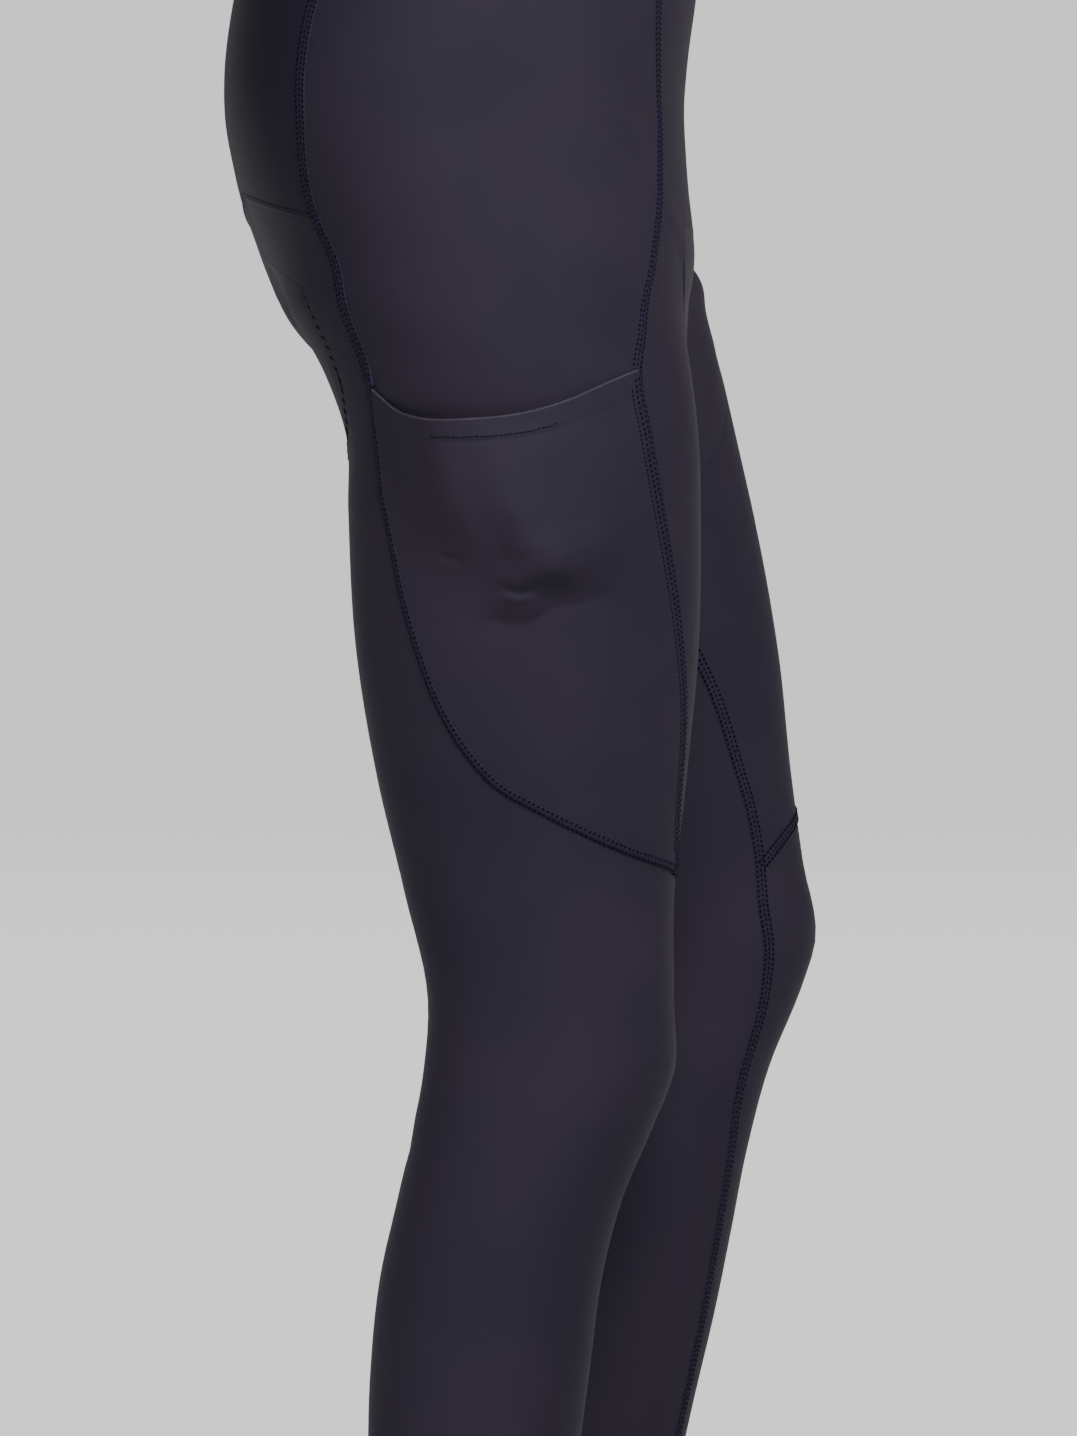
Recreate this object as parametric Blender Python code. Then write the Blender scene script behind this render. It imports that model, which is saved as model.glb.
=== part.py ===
"""Cycling bib tights, worn and hollow: thirteen cut panels sewn into one garment.

Metres, +Z up. The wearer faces -Y and the wearer's left is +X. Heights in the tables are above the sole;
the origin is between the two straps where they lie on the shoulders, so everything ends up below z = 0.
The cloth follows a general figure given by horizontal sections. A place on either half is an angle and a
height: the angle runs round that leg's axis, 0 at the front, 90 at the outer side, 180 at the back, 270 inside.
"""

import bmesh
import bpy
import numpy as np

# Driving sizes
CLOTH = 0.0012
SEAM_GAP = 0.0003
SHOULDER_HEIGHT = 1.500
WAIST_HEIGHT = 1.100
WAIST_FRONT_HEIGHT = 1.075
KNEE_HEIGHT = 0.530
LEFT_KNEE_LIFT = 0.031
CROTCH_BLEND = {-1: (0.790, 0.904), 1: (0.820, 0.908)}
# The raised left thigh's front runs on higher: by how much, and between which angles
THIGH_RISE = {-1: 0.0, 1: 0.036}
THIGH_FRONT = (-38.0, 0.0, 70.0, 130.0)
CROTCH_HEIGHT = 0.795
AXIS_BLEND = (0.740, 0.950)
TORSO_AXIS_LATERAL = 0.088

# Leg sections: height, front and back edge (y), inner and outer edge (distance from the middle plane)
LEG_COLUMNS = ("height", "front", "back", "inner", "outer")
RIGHT_LEG = (
    (0.090, -0.0120, 0.0610, 0.055, 0.116),
    (0.150, -0.0250, 0.0510, 0.051, 0.119),
    (0.215, -0.0390, 0.0480, 0.042, 0.127),
    (0.286, -0.0540, 0.0500, 0.033, 0.136),
    (0.336, -0.0609, 0.0489, 0.030, 0.1395),
    (0.385, -0.0676, 0.0437, 0.031, 0.1395),
    (0.423, -0.0775, 0.0352, 0.034, 0.1385),
    (0.459, -0.0928, 0.0272, 0.036, 0.138),
    (0.4875, -0.1037, 0.0223, 0.036, 0.1385),
    (0.520, -0.1035, 0.0200, 0.034, 0.139),
    (0.577, -0.1038, 0.0320, 0.028, 0.143),
    (0.633, -0.1096, 0.0454, 0.022, 0.151),
    (0.699, -0.1155, 0.0563, 0.016, 0.160),
    (0.768, -0.1164, 0.0601, 0.011, 0.166),
    (0.805, -0.1156, 0.0611, 0.009, 0.168),
    (0.838, -0.1135, 0.0727, 0.006, 0.170),
    (0.880, -0.1010, 0.0980, 0.002, 0.172),
    (0.930, -0.1000, 0.1120, 0.000, 0.172),
)
LEFT_LEG = (
    (0.122, -0.0920, -0.0190, 0.055, 0.116),
    (0.180, -0.1060, -0.0270, 0.051, 0.119),
    (0.262, -0.1240, -0.0290, 0.037, 0.131),
    (0.303, -0.1333, -0.0300, 0.033, 0.136),
    (0.347, -0.1438, -0.0330, 0.030, 0.1395),
    (0.391, -0.1529, -0.0420, 0.031, 0.1395),
    (0.435, -0.1617, -0.0540, 0.033, 0.1385),
    (0.479, -0.1739, -0.0660, 0.036, 0.138),
    (0.5226, -0.1919, -0.0720, 0.036, 0.1385),
    (0.5445, -0.1983, -0.0680, 0.034, 0.139),
    (0.588, -0.1916, -0.0450, 0.030, 0.142),
    (0.632, -0.1856, -0.0250, 0.025, 0.149),
    (0.698, -0.1787, 0.0000, 0.018, 0.159),
    (0.764, -0.1670, 0.0180, 0.012, 0.166),
    (0.808, -0.1570, 0.0300, 0.009, 0.168),
    (0.838, -0.1500, 0.0460, 0.006, 0.170),
    (0.860, -0.1448, 0.0640, 0.004, 0.171),
    (0.880, -0.1461, 0.0800, 0.002, 0.172),
    (0.900, -0.1575, 0.0960, 0.001, 0.172),
    (0.930, -0.1445, 0.1120, 0.000, 0.172),
    (0.960, -0.1300, 0.1150, 0.000, 0.171),
)

# Torso sections: height, front and back edge (y), half width
TORSO_COLUMNS = ("height", "front", "back", "half_width")
TORSO = (
    (0.780, -0.1180, 0.0600, 0.167),
    (0.846, -0.1195, 0.0790, 0.170),
    (0.867, -0.1205, 0.0893, 0.171),
    (0.888, -0.1213, 0.0945, 0.172),
    (0.910, -0.1204, 0.1017, 0.172),
    (0.931, -0.1181, 0.1091, 0.1715),
    (0.952, -0.1166, 0.1142, 0.170),
    (0.9735, -0.1158, 0.1180, 0.168),
    (0.995, -0.1174, 0.1186, 0.165),
    (1.037, -0.1231, 0.1135, 0.156),
    (1.075, -0.1270, 0.1050, 0.147),
    (1.110, -0.1280, 0.1000, 0.142),
    (1.180, -0.1250, 0.1010, 0.144),
    (1.260, -0.1240, 0.1130, 0.151),
    (1.330, -0.1200, 0.1230, 0.157),
    (1.390, -0.1120, 0.1240, 0.158),
    (1.430, -0.1000, 0.1190, 0.153),
)
LEG_ROUNDNESS = 2.15
TORSO_ROUNDNESS = (2.35, 2.8)

# Seams of the right half as angle in degrees at a height; the left half's knee is lifted
SEAM_COLUMNS = ("height", "angle")
OUTER_FRONT_SEAM = (
    (0.588, 17.0), (0.624, 21.5), (0.648, 22.5), (0.674, 25.5), (0.700, 30.5), (0.729, 36.0), (0.767, 43.4),
    (0.803, 49.0), (0.834, 49.5), (0.857, 41.5), (0.878, 35.5), (0.898, 31.0), (0.922, 24.0), (0.956, 17.0),
    (1.020, 17.5), (1.100, 20.0),
)
BACK_SEAM = (
    (0.826, 147.5), (0.855, 147.8), (0.884, 148.0), (0.9095, 153.5), (0.937, 152.4), (0.963, 150.3),
    (1.016, 149.0), (1.100, 147.0),
)
INNER_SEAM = (
    (0.090, -31.0), (0.200, -33.0), (0.300, -35.5), (0.370, -38.5), (0.400, -40.5), (0.430, -46.0),
    (0.470, -48.5), (0.500, -51.5), (0.528, -52.5), (0.555, -46.0), (0.585, -45.0), (0.615, -48.0),
    (0.665, -55.0), (0.700, -64.0), (0.728, -76.0), (0.752, -88.0),
)
KNEE_SEAM_INNER_HEIGHT = 0.555
KNEE_SEAM_OUTER_HEIGHT = 0.588
POCKET_FRONT_CORNER_HEIGHT = 0.834
POCKET_BACK_CORNER_HEIGHT = 0.826
KNEE_BOW = 0.009
HEM_TILT = 0.005
SEAT_SEAM_HEIGHT = 0.9095
SEAT_SEAM_CENTRE_HEIGHT = 0.932
FAN_BACK_HEIGHT = 0.874
FAN_FRONT_HEIGHT = 0.880
SEAT_LEVEL_FRONT_HEIGHT = 0.916
GUSSET_LOW_HEIGHT = 0.752
GUSSET_TOP_HEIGHT = 0.911
GUSSET_BACK_HEIGHT = 0.899

# Lines that turn back on themselves, as angle and height pairs
POCKET_LINE = (
    (17.0, 0.588), (49.9, 0.5974), (73.2, 0.608), (92.0, 0.6184), (109.7, 0.6302), (120.9, 0.6463),
    (130.0, 0.6684), (136.2, 0.6949), (140.7, 0.7214), (144.5, 0.751), (148.6, 0.7806), (149.8, 0.808),
    (147.5, 0.826),
)
GUSSET_FRONT_LINE = (
    (-88.0, 0.752), (-70.0, 0.766), (-48.0, 0.785), (-30.0, 0.804), (-16.0, 0.825), (-6.0, 0.848),
    (1.0, 0.870), (5.0, 0.890), (5.0, 0.911),
)
GUSSET_BACK_LINE = (
    (272.0, 0.752), (252.0, 0.760), (228.0, 0.771), (206.0, 0.782), (187.0, 0.794), (174.0, 0.808),
    (168.5, 0.823), (166.8, 0.838), (166.6, 0.850), (168.0, 0.864), (171.0, 0.877),
)
ARCH_FRONT_LINE = (
    (338.0, 0.911), (336.0, 0.885), (332.0, 0.858), (320.0, 0.828), (298.0, 0.803), (270.0, 0.790),
)
ARCH_BACK_LINE = (
    (270.0, 0.790), (250.0, 0.793), (229.0, 0.803), (213.0, 0.822), (204.0, 0.846), (201.0, 0.868),
    (202.0, 0.886),
)

# Crotch line on the middle plane, from the gusset's front edge under the legs to its back edge
CROTCH_COLUMNS = ("station", "y", "height")
CROTCH_LINE = (
    (0.00, -0.1211, 0.911),
    (0.12, -0.1215, 0.885),
    (0.24, -0.1170, 0.860),
    (0.36, -0.1000, 0.836),
    (0.467, -0.0600, 0.818),
    (0.56, -0.0150, 0.814),
    (0.66, 0.0220, 0.822),
    (0.76, 0.0520, 0.840),
    (0.88, 0.0760, 0.865),
    (1.00, 0.0960, 0.899),
)

# Straps: distance along, y, height, distance from the middle plane, half width, drop of the outer edge
STRAP_COLUMNS = ("station", "y", "height", "lateral", "half_width", "drop")
STRAP_PATH = (
    (0.10, -0.1290, 1.160, 0.087, 0.0260, 0.000),
    (0.22, -0.1265, 1.245, 0.092, 0.0235, 0.000),
    (0.34, -0.1190, 1.330, 0.098, 0.0225, 0.001),
    (0.46, -0.1020, 1.410, 0.103, 0.0225, 0.003),
    (0.56, -0.0630, 1.468, 0.104, 0.0225, 0.006),
    (0.66, 0.0050, 1.500, 0.100, 0.0225, 0.008),
    (0.78, 0.0760, 1.475, 0.085, 0.0225, 0.005),
    (0.90, 0.1185, 1.420, 0.062, 0.0240, 0.001),
)
STRAP_FRONT_SHARES = (0.36, 0.80)
STRAP_BACK_EDGES = (0.022, 0.072)
BIB_TOP_HEIGHT = 1.390
BIB_EDGE = ((1.100, 118.0), (1.150, 134.0), (1.210, 152.0), (1.280, 168.0), (1.335, 177.0), (1.390, 184.5))

# The pocket's mouth: share of the way across, and how far it dips in metres
MOUTH_COLUMNS = ("share", "dip")
MOUTH = (
    (0.00, 0.0), (0.15, 0.0076), (0.27, 0.0138), (0.45, 0.0188), (0.62, 0.0185), (0.77, 0.0155),
    (0.92, 0.0078), (1.00, 0.0),
)
POCKET_BASE_LIFT = 0.0004

# Swellings of the filled pocket: middle height and share across, reach up, down and across, and lift
SWELL_COLUMNS = ("height", "share", "up", "down", "half_share", "lift")
RIGHT_SWELLS = (
    (0.760, 0.50, 0.200, 0.062, 0.24, 0.0150),
    (0.790, 0.70, 0.200, 0.060, 0.13, 0.0080),
    (0.738, 0.47, 0.034, 0.014, 0.07, 0.0050),
)
LEFT_SWELLS = ((0.780, 0.52, 0.200, 0.110, 0.26, 0.0120),)

# Mesh counts: rows along the seams, columns between them
ROWS_LOW = 14
ROWS_KNEE = 4
ROWS_POCKET = 16
ROWS_BACK_LOWER = 4
ROWS_BACK_UPPER = 8
ROWS_SEAT = 10
ROWS_INNER = 12
ROWS_GUSSET_BACK = 12
ROWS_GUSSET_FRONT = 16
ROWS_GUSSET_END = 6
ROWS_CENTRE_BACK = 2
ROWS_CENTRE = 4
COLUMNS_FRONT = 8
BOW_ROWS = 4
HEM_ROWS = 4
COLUMNS_LEG = 16
COLUMNS_SIDE = 8
COLUMNS_SEAT_HALF = 8
COLUMNS_STRAP = 3
ROWS_STRAP = 22
ROWS_BIB = 8
COLUMNS_BIB_HALF = 5

CLOTH_COLOUR = (0.026, 0.023, 0.038, 1.0)
MESH_COLOUR = (0.016, 0.015, 0.024, 1.0)


def column(table, names, name):
    """One named column of a table, as an array."""
    return np.array([row[names.index(name)] for row in table], float)


def smooth_curve(places, values):
    """A smooth curve through the rows of a table: cubic pieces with slopes from the neighbouring rows."""
    slopes = np.gradient(values, places)

    def at(place):
        place = np.clip(place, places[0], places[-1])
        k = np.clip(np.searchsorted(places, place) - 1, 0, len(places) - 2)
        span = places[k + 1] - places[k]
        t = (place - places[k]) / span
        rise = values[k + 1] - values[k]
        start, end = slopes[k] * span, slopes[k + 1] * span
        return values[k] + t * start + t**2 * (3 * rise - 2 * start - end) + t**3 * (start + end - 2 * rise)

    return at


def table_curves(table, names):
    """Every column of a table as a smooth curve over its first column."""
    places = column(table, names, names[0])
    return {name: smooth_curve(places, column(table, names, name)) for name in names[1:]}


def smooth_step(low, high, value):
    """0 below low, 1 above high, and smooth between them."""
    t = np.clip((value - low) / (high - low), 0.0, 1.0)
    return t * t * (3 - 2 * t)


LEGS = {-1: table_curves(RIGHT_LEG, LEG_COLUMNS), 1: table_curves(LEFT_LEG, LEG_COLUMNS)}
TRUNK = table_curves(TORSO, TORSO_COLUMNS)


def axis_of(side, height):
    """The axis that a half's angles run round: the leg's middle, moving to the torso's above the crotch."""
    leg = LEGS[side]
    share = smooth_step(*AXIS_BLEND, height)
    lateral = (leg["inner"](height) + leg["outer"](height)) / 2
    depth = (leg["front"](height) + leg["back"](height)) / 2
    torso_depth = (TRUNK["front"](height) + TRUNK["back"](height)) / 2
    return lateral + share * (TORSO_AXIS_LATERAL - lateral), depth + share * (torso_depth - depth)


def section_reach(origin, angle, centre, half_width, half_depth, roundness):
    """How far a ray at an angle goes from its origin to a rounded section, by halving."""
    low, high = np.zeros_like(angle), np.full_like(angle, 0.6)
    for _ in range(40):
        middle = (low + high) / 2
        across = np.abs(origin[0] + middle * np.sin(angle) - centre[0]) / half_width
        along = np.abs(origin[1] - middle * np.cos(angle) - centre[1]) / half_depth
        inside = across**roundness + along**roundness < 1
        low, high = np.where(inside, middle, low), np.where(inside, high, middle)
    return (low + high) / 2


def surface(side, angle_degrees, height):
    """The cloth's outer face at an angle and a height, as x, y and height above the sole."""
    angle, height = np.broadcast_arrays(np.radians(angle_degrees), np.asarray(height, float))
    leg = LEGS[side]
    origin = axis_of(side, height)
    front, back = leg["front"](height), leg["back"](height)
    inner, outer = leg["inner"](height), leg["outer"](height)
    leg_reach = section_reach(
        origin, angle, ((inner + outer) / 2, (front + back) / 2), (outer - inner) / 2, (back - front) / 2,
        LEG_ROUNDNESS,
    )
    front, back = TRUNK["front"](height), TRUNK["back"](height)
    backward = (1 - np.cos(angle)) / 2
    roundness = TORSO_ROUNDNESS[0] + (TORSO_ROUNDNESS[1] - TORSO_ROUNDNESS[0]) * backward
    torso_reach = section_reach(
        origin, angle, (0.0, (front + back) / 2), TRUNK["half_width"](height), (back - front) / 2, roundness
    )
    turn = (np.degrees(angle) + 90.0) % 360.0 - 90.0
    ahead = smooth_step(*THIGH_FRONT[:2], turn) * (1 - smooth_step(*THIGH_FRONT[2:], turn))
    share = smooth_step(*CROTCH_BLEND[side], height - THIGH_RISE[side] * ahead)
    reach = leg_reach + share * (torso_reach - leg_reach)
    return np.stack(
        [side * (origin[0] + reach * np.sin(angle)), origin[1] - reach * np.cos(angle), height], axis=-1
    )


def angle_at(side, lateral, height, backward):
    """The angle of the torso point that lies a distance from the middle plane, in front or behind."""
    low, high = (180.0, 268.0) if backward else (-88.0, 60.0)
    for _ in range(40):
        middle = (low + high) / 2
        beyond = side * surface(side, middle, height)[0] < lateral
        if beyond == backward:
            high = middle
        else:
            low = middle
    return (low + high) / 2


def lifted(side, height):
    """A height on the right half moved to the left half, whose knee is higher."""
    lift = LEFT_KNEE_LIFT * (1 - smooth_step(KNEE_HEIGHT, CROTCH_HEIGHT, height))
    return height + (lift if side > 0 else 0.0)


def seam_chain(side, table, low, high, rows):
    """Angle and height pairs along a seam, evenly spaced in height from low to high."""
    heights = np.linspace(low, high, rows + 1)
    angles = table_curves(table, SEAM_COLUMNS)["angle"](heights)
    return np.stack([angles, lifted(side, heights)], axis=-1)


def even_line(side, line, rows, fine=400):
    """Angle and height pairs along a line of the table kind, evenly spaced along the cloth."""
    places = np.array([(angle, lifted(side, height)) for angle, height in line])
    points = surface(side, places[:, 0], places[:, 1])
    along = np.concatenate([[0.0], np.cumsum(np.linalg.norm(np.diff(points, axis=0), axis=1))])
    dense = np.linspace(0, along[-1], fine)
    dense_places = np.stack([smooth_curve(along, places[:, k])(dense) for k in range(2)], axis=-1)
    points = surface(side, dense_places[:, 0], dense_places[:, 1])
    length = np.concatenate([[0.0], np.cumsum(np.linalg.norm(np.diff(points, axis=0), axis=1))])
    wanted = np.linspace(0, length[-1], rows + 1)
    return np.stack([np.interp(wanted, length, dense_places[:, k]) for k in range(2)], axis=-1)


def joined(*chains):
    """Chains end to end, each shared end once."""
    return np.concatenate([chains[0], *(chain[1:] for chain in chains[1:])])


def straight_chain(start, end, rows):
    """Evenly spaced pairs between two places."""
    return np.linspace(start, end, rows + 1)


def half_seams(side):
    """Every seam line of one half, as chains of angle and height."""
    outer_low = np.array([OUTER_FRONT_SEAM[0][1], lifted(side, KNEE_SEAM_OUTER_HEIGHT)])
    inner = seam_chain(side, INNER_SEAM, KNEE_SEAM_INNER_HEIGHT, GUSSET_LOW_HEIGHT, ROWS_INNER)
    gusset_front = even_line(side, GUSSET_FRONT_LINE, ROWS_GUSSET_FRONT)
    gusset_back = even_line(side, GUSSET_BACK_LINE, ROWS_GUSSET_BACK)
    front_middle = (angle_at(side, 0.0, GUSSET_TOP_HEIGHT, False), GUSSET_TOP_HEIGHT)
    back_middle = (angle_at(side, 0.0, GUSSET_BACK_HEIGHT, True), GUSSET_BACK_HEIGHT)
    back_heights = np.linspace(GUSSET_BACK_HEIGHT, SEAT_SEAM_CENTRE_HEIGHT, ROWS_CENTRE_BACK + 1)
    centre_heights = np.linspace(GUSSET_TOP_HEIGHT, WAIST_FRONT_HEIGHT, ROWS_CENTRE + 1)
    knee = straight_chain(inner[0], outer_low, ROWS_KNEE)
    knee[:, 1] += KNEE_BOW * np.sin(np.linspace(0, np.pi, ROWS_KNEE + 1))
    return {
        "inner_low": seam_chain(side, INNER_SEAM, RIGHT_LEG[0][0], KNEE_SEAM_INNER_HEIGHT, ROWS_LOW),
        "inner": inner,
        "gusset_front": gusset_front,
        "gusset_back": gusset_back,
        "gusset_front_end": straight_chain(gusset_front[-1], front_middle, ROWS_GUSSET_END),
        "gusset_back_end": straight_chain(gusset_back[-1], back_middle, ROWS_GUSSET_END),
        "centre_back": np.array([[angle_at(side, 0.0, height, True), height] for height in back_heights]),
        "centre": np.array([[angle_at(side, 0.0, height, False), height] for height in centre_heights]),
        "knee": knee,
        "front": joined(
            seam_chain(side, OUTER_FRONT_SEAM, KNEE_SEAM_OUTER_HEIGHT, POCKET_FRONT_CORNER_HEIGHT, ROWS_POCKET),
            seam_chain(side, OUTER_FRONT_SEAM, POCKET_FRONT_CORNER_HEIGHT, FAN_FRONT_HEIGHT, ROWS_BACK_LOWER),
            seam_chain(side, OUTER_FRONT_SEAM, FAN_FRONT_HEIGHT, SEAT_LEVEL_FRONT_HEIGHT, ROWS_BACK_UPPER),
            seam_chain(side, OUTER_FRONT_SEAM, SEAT_LEVEL_FRONT_HEIGHT, WAIST_HEIGHT, ROWS_SEAT),
        ),
        "pocket": even_line(side, POCKET_LINE, ROWS_POCKET),
        "back": joined(
            seam_chain(side, BACK_SEAM, POCKET_BACK_CORNER_HEIGHT, FAN_BACK_HEIGHT, ROWS_BACK_LOWER),
            seam_chain(side, BACK_SEAM, FAN_BACK_HEIGHT, SEAT_SEAM_HEIGHT, ROWS_BACK_UPPER),
        ),
        "seat_edge": seam_chain(side, BACK_SEAM, SEAT_SEAM_HEIGHT, WAIST_HEIGHT, ROWS_SEAT),
    }


def ruled(start, end, columns):
    """A grid of angle and height pairs between two chains of equal length."""
    share = np.linspace(0, 1, columns + 1)[None, :, None]
    return start[:, None, :] * (1 - share) + end[:, None, :] * share


def grid_points(side, grid):
    return surface(side, grid[..., 0], grid[..., 1])


def grid_normals(side, grid):
    """The cloth's outward normals on a grid of angle and height pairs."""
    angle, height = grid[..., 0], grid[..., 1]
    around = surface(side, angle + 0.5, height) - surface(side, angle - 0.5, height)
    upward = surface(side, angle, height + 0.001) - surface(side, angle, height - 0.001)
    return unit(np.cross(around, upward)) * side


def unit(vectors):
    return vectors / np.maximum(np.linalg.norm(vectors, axis=-1, keepdims=True), 1e-12)


def own_normals(points, outward):
    """Outward normals of a grid taken from its own rows and columns."""
    return unit(np.cross(np.gradient(points, axis=1), np.gradient(points, axis=0))) * outward


def material(name, colour, roughness):
    made = bpy.data.materials.new(name)
    made.use_nodes = True
    shader = made.node_tree.nodes["Principled BSDF"]
    shader.inputs["Base Color"].default_value = colour
    shader.inputs["Roughness"].default_value = roughness
    shader.inputs["Metallic"].default_value = 0.0
    return made


def inset(points, normals, gap=SEAM_GAP / 2):
    """Draws a panel's edges in from the seam lines, square to each edge and along the cloth."""
    rows, columns = points.shape[:2]
    moved = points.copy()
    pulls = np.zeros(points.shape)
    counts = np.zeros(points.shape[:2])
    for axis, edge, inner in ((0, 0, 1), (0, rows - 1, rows - 2), (1, 0, 1), (1, columns - 1, columns - 2)):
        line = points[edge] if axis == 0 else points[:, edge]
        inside = points[inner] if axis == 0 else points[:, inner]
        normal = normals[edge] if axis == 0 else normals[:, edge]
        if np.linalg.norm(np.diff(line, axis=0), axis=1).sum() < 1e-4:
            continue
        across = unit(np.cross(normal, np.gradient(line, axis=0)))
        across *= np.sign(((inside - line) * across).sum())
        if axis == 0:
            pulls[edge] += across
            counts[edge] += 1
        else:
            pulls[:, edge] += across
            counts[:, edge] += 1
    for i, j in zip(*np.nonzero(counts)):
        pull = pulls[i, j]
        if counts[i, j] == 2:
            pull = pull * 2 / max(float(pull @ pull), 0.3)
        moved[i, j] += pull * gap
    return moved


def panel(name, points, normals, outward, cloth, collection):
    """One cut panel: outer and inner faces one cloth thickness apart, closed by a rim."""
    form = bmesh.new()
    rows, columns = points.shape[:2]
    layers = []
    for depth in (0.0, CLOTH):
        layer = []
        for i in range(rows):
            places = points[i] - normals[i] * depth - np.array([0.0, 0.0, SHOULDER_HEIGHT])
            gathered = np.linalg.norm(np.diff(points[i], axis=0), axis=1).sum() < 1e-3
            if gathered:
                layer.append([form.verts.new(places.mean(axis=0))] * columns)
            else:
                layer.append([form.verts.new(place) for place in places])
        layers.append(layer)

    def face(*corners):
        ring = [corner for k, corner in enumerate(corners) if corner is not corners[k - 1]]
        if len(ring) >= 3:
            form.faces.new(ring if outward > 0 else ring[::-1])

    outer, inner = layers
    for i in range(rows - 1):
        for j in range(columns - 1):
            first = np.linalg.norm(points[i, j] - points[i + 1, j + 1])
            second = np.linalg.norm(points[i, j + 1] - points[i + 1, j])
            a, b, c, d = (i, j), (i, j + 1), (i + 1, j + 1), (i + 1, j)
            pieces = ((a, b, c), (a, c, d)) if first < second else ((a, b, d), (b, c, d))
            for piece in pieces:
                face(*(outer[k][m] for k, m in piece))
                face(*(inner[k][m] for k, m in piece[::-1]))
    ring = [(0, j) for j in range(columns)] + [(i, columns - 1) for i in range(1, rows)]
    ring += [(rows - 1, j) for j in range(columns - 2, -1, -1)] + [(i, 0) for i in range(rows - 2, 0, -1)]
    for (i, j), (k, m) in zip(ring, ring[1:] + ring[:1]):
        if outer[i][j] is not outer[k][m]:
            face(outer[k][m], outer[i][j], inner[i][j], inner[k][m])
    mesh = bpy.data.meshes.new(name)
    form.to_mesh(mesh)
    form.free()
    mesh.shade_smooth()
    made = bpy.data.objects.new(name, mesh)
    made.data.materials.append(cloth)
    collection.objects.link(made)
    return made


def front_grid(seams):
    inner_edge = joined(seams["inner"], seams["gusset_front"], seams["gusset_front_end"], seams["centre"])
    grid = ruled(inner_edge, seams["front"], COLUMNS_FRONT)
    places = np.linspace(0, ROWS_KNEE, COLUMNS_FRONT + 1)
    bow = np.interp(places, np.arange(ROWS_KNEE + 1), seams["knee"][:, 1]) - grid[0, :, 1]
    for k in range(BOW_ROWS):
        grid[k, :, 1] += bow * (1 - k / BOW_ROWS)
    return grid


def side_grid(seams):
    return ruled(seams["front"], joined(seams["pocket"], seams["back"], seams["seat_edge"]), COLUMNS_SIDE)


def leg_grid(seams):
    start = joined(seams["inner_low"], seams["knee"], seams["pocket"], seams["back"])
    round_leg = joined(seams["inner_low"], seams["inner"]) + np.array([360.0, 0.0])
    end = joined(round_leg, seams["gusset_back"], seams["gusset_back_end"], seams["centre_back"])
    grid = ruled(start, end, COLUMNS_LEG)
    for k in range(HEM_ROWS):
        grid[k, :, 1] -= HEM_TILT * np.cos(np.radians(grid[k, :, 0])) * (1 - k / HEM_ROWS)
    return grid


def half_panel(side, grid):
    """Points and normals of a panel that lies on one half."""
    points, normals = grid_points(side, grid), grid_normals(side, grid)
    return inset(points, normals), normals


def mirrored_panel(grids):
    """Points and normals of a panel whose grids on both halves meet at the middle of the back."""
    points, normals = (
        np.concatenate([made[-1], made[1][:, -2::-1]], axis=1)
        for made in (
            {side: grid_points(side, grids[side]) for side in grids},
            {side: grid_normals(side, grids[side]) for side in grids},
        )
    )
    return inset(points, normals), normals


def swelling(table, share, height):
    """How far the filled pocket's cloth stands off the panel under it."""
    lift = np.zeros_like(height)
    for row in table:
        swell = dict(zip(SWELL_COLUMNS, row))
        above = np.clip((height - swell["height"]) / swell["up"], 0, 1)
        below = np.clip((swell["height"] - height) / swell["down"], 0, 1)
        across = np.clip(np.abs(share - swell["share"]) / (2 * swell["half_share"]), 0, 1)
        along = (1 - smooth_step(0, 1, above)) * (1 - smooth_step(0, 1, below))
        lift += swell["lift"] * along * (1 - smooth_step(0, 1, across))
    return lift


def pocket_panel(side, seams, swells):
    """The patch pocket over the lower side panel, from the tip at the knee to its dipping mouth."""
    below = side_grid(seams)
    shares = np.linspace(0, 1, COLUMNS_SIDE + 1)
    middle = grid_points(side, below[ROWS_POCKET - 1:ROWS_POCKET + 1, COLUMNS_SIDE // 2])
    dip = table_curves(MOUTH, MOUTH_COLUMNS)["dip"](shares)
    rows = np.arange(ROWS_POCKET + 1.0)[:, None] + np.zeros(COLUMNS_SIDE + 1)
    rows[-1] -= dip / np.linalg.norm(middle[1] - middle[0])
    rows[-2] = (rows[-1] + rows[-3]) / 2
    places = np.arange(len(below))
    grid = np.zeros(rows.shape + (2,))
    for j in range(COLUMNS_SIDE + 1):
        for k in range(2):
            grid[:, j, k] = np.interp(rows[:, j], places, below[:, j, k])
    points, normals = grid_points(side, grid), grid_normals(side, grid)
    edge_fade = smooth_step(0, 0.09, shares) * smooth_step(0, 0.09, 1 - shares)
    lift = swelling(swells, shares[None, :] + np.zeros_like(rows), grid[..., 1]) * edge_fade
    return inset(points, normals) + normals * (lift + POCKET_BASE_LIFT + CLOTH)[..., None], normals


def seat_panel(seams):
    """The seat, from one back seam round the middle of the back to the other."""
    heights = np.linspace(SEAT_SEAM_CENTRE_HEIGHT, WAIST_HEIGHT, ROWS_SEAT + 1)
    grids = {}
    for side in (-1, 1):
        centre = np.array([[angle_at(side, 0.0, height, True), height] for height in heights])
        grids[side] = ruled(seams[side]["seat_edge"], centre, COLUMNS_SEAT_HALF)
    return mirrored_panel(grids)


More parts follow.
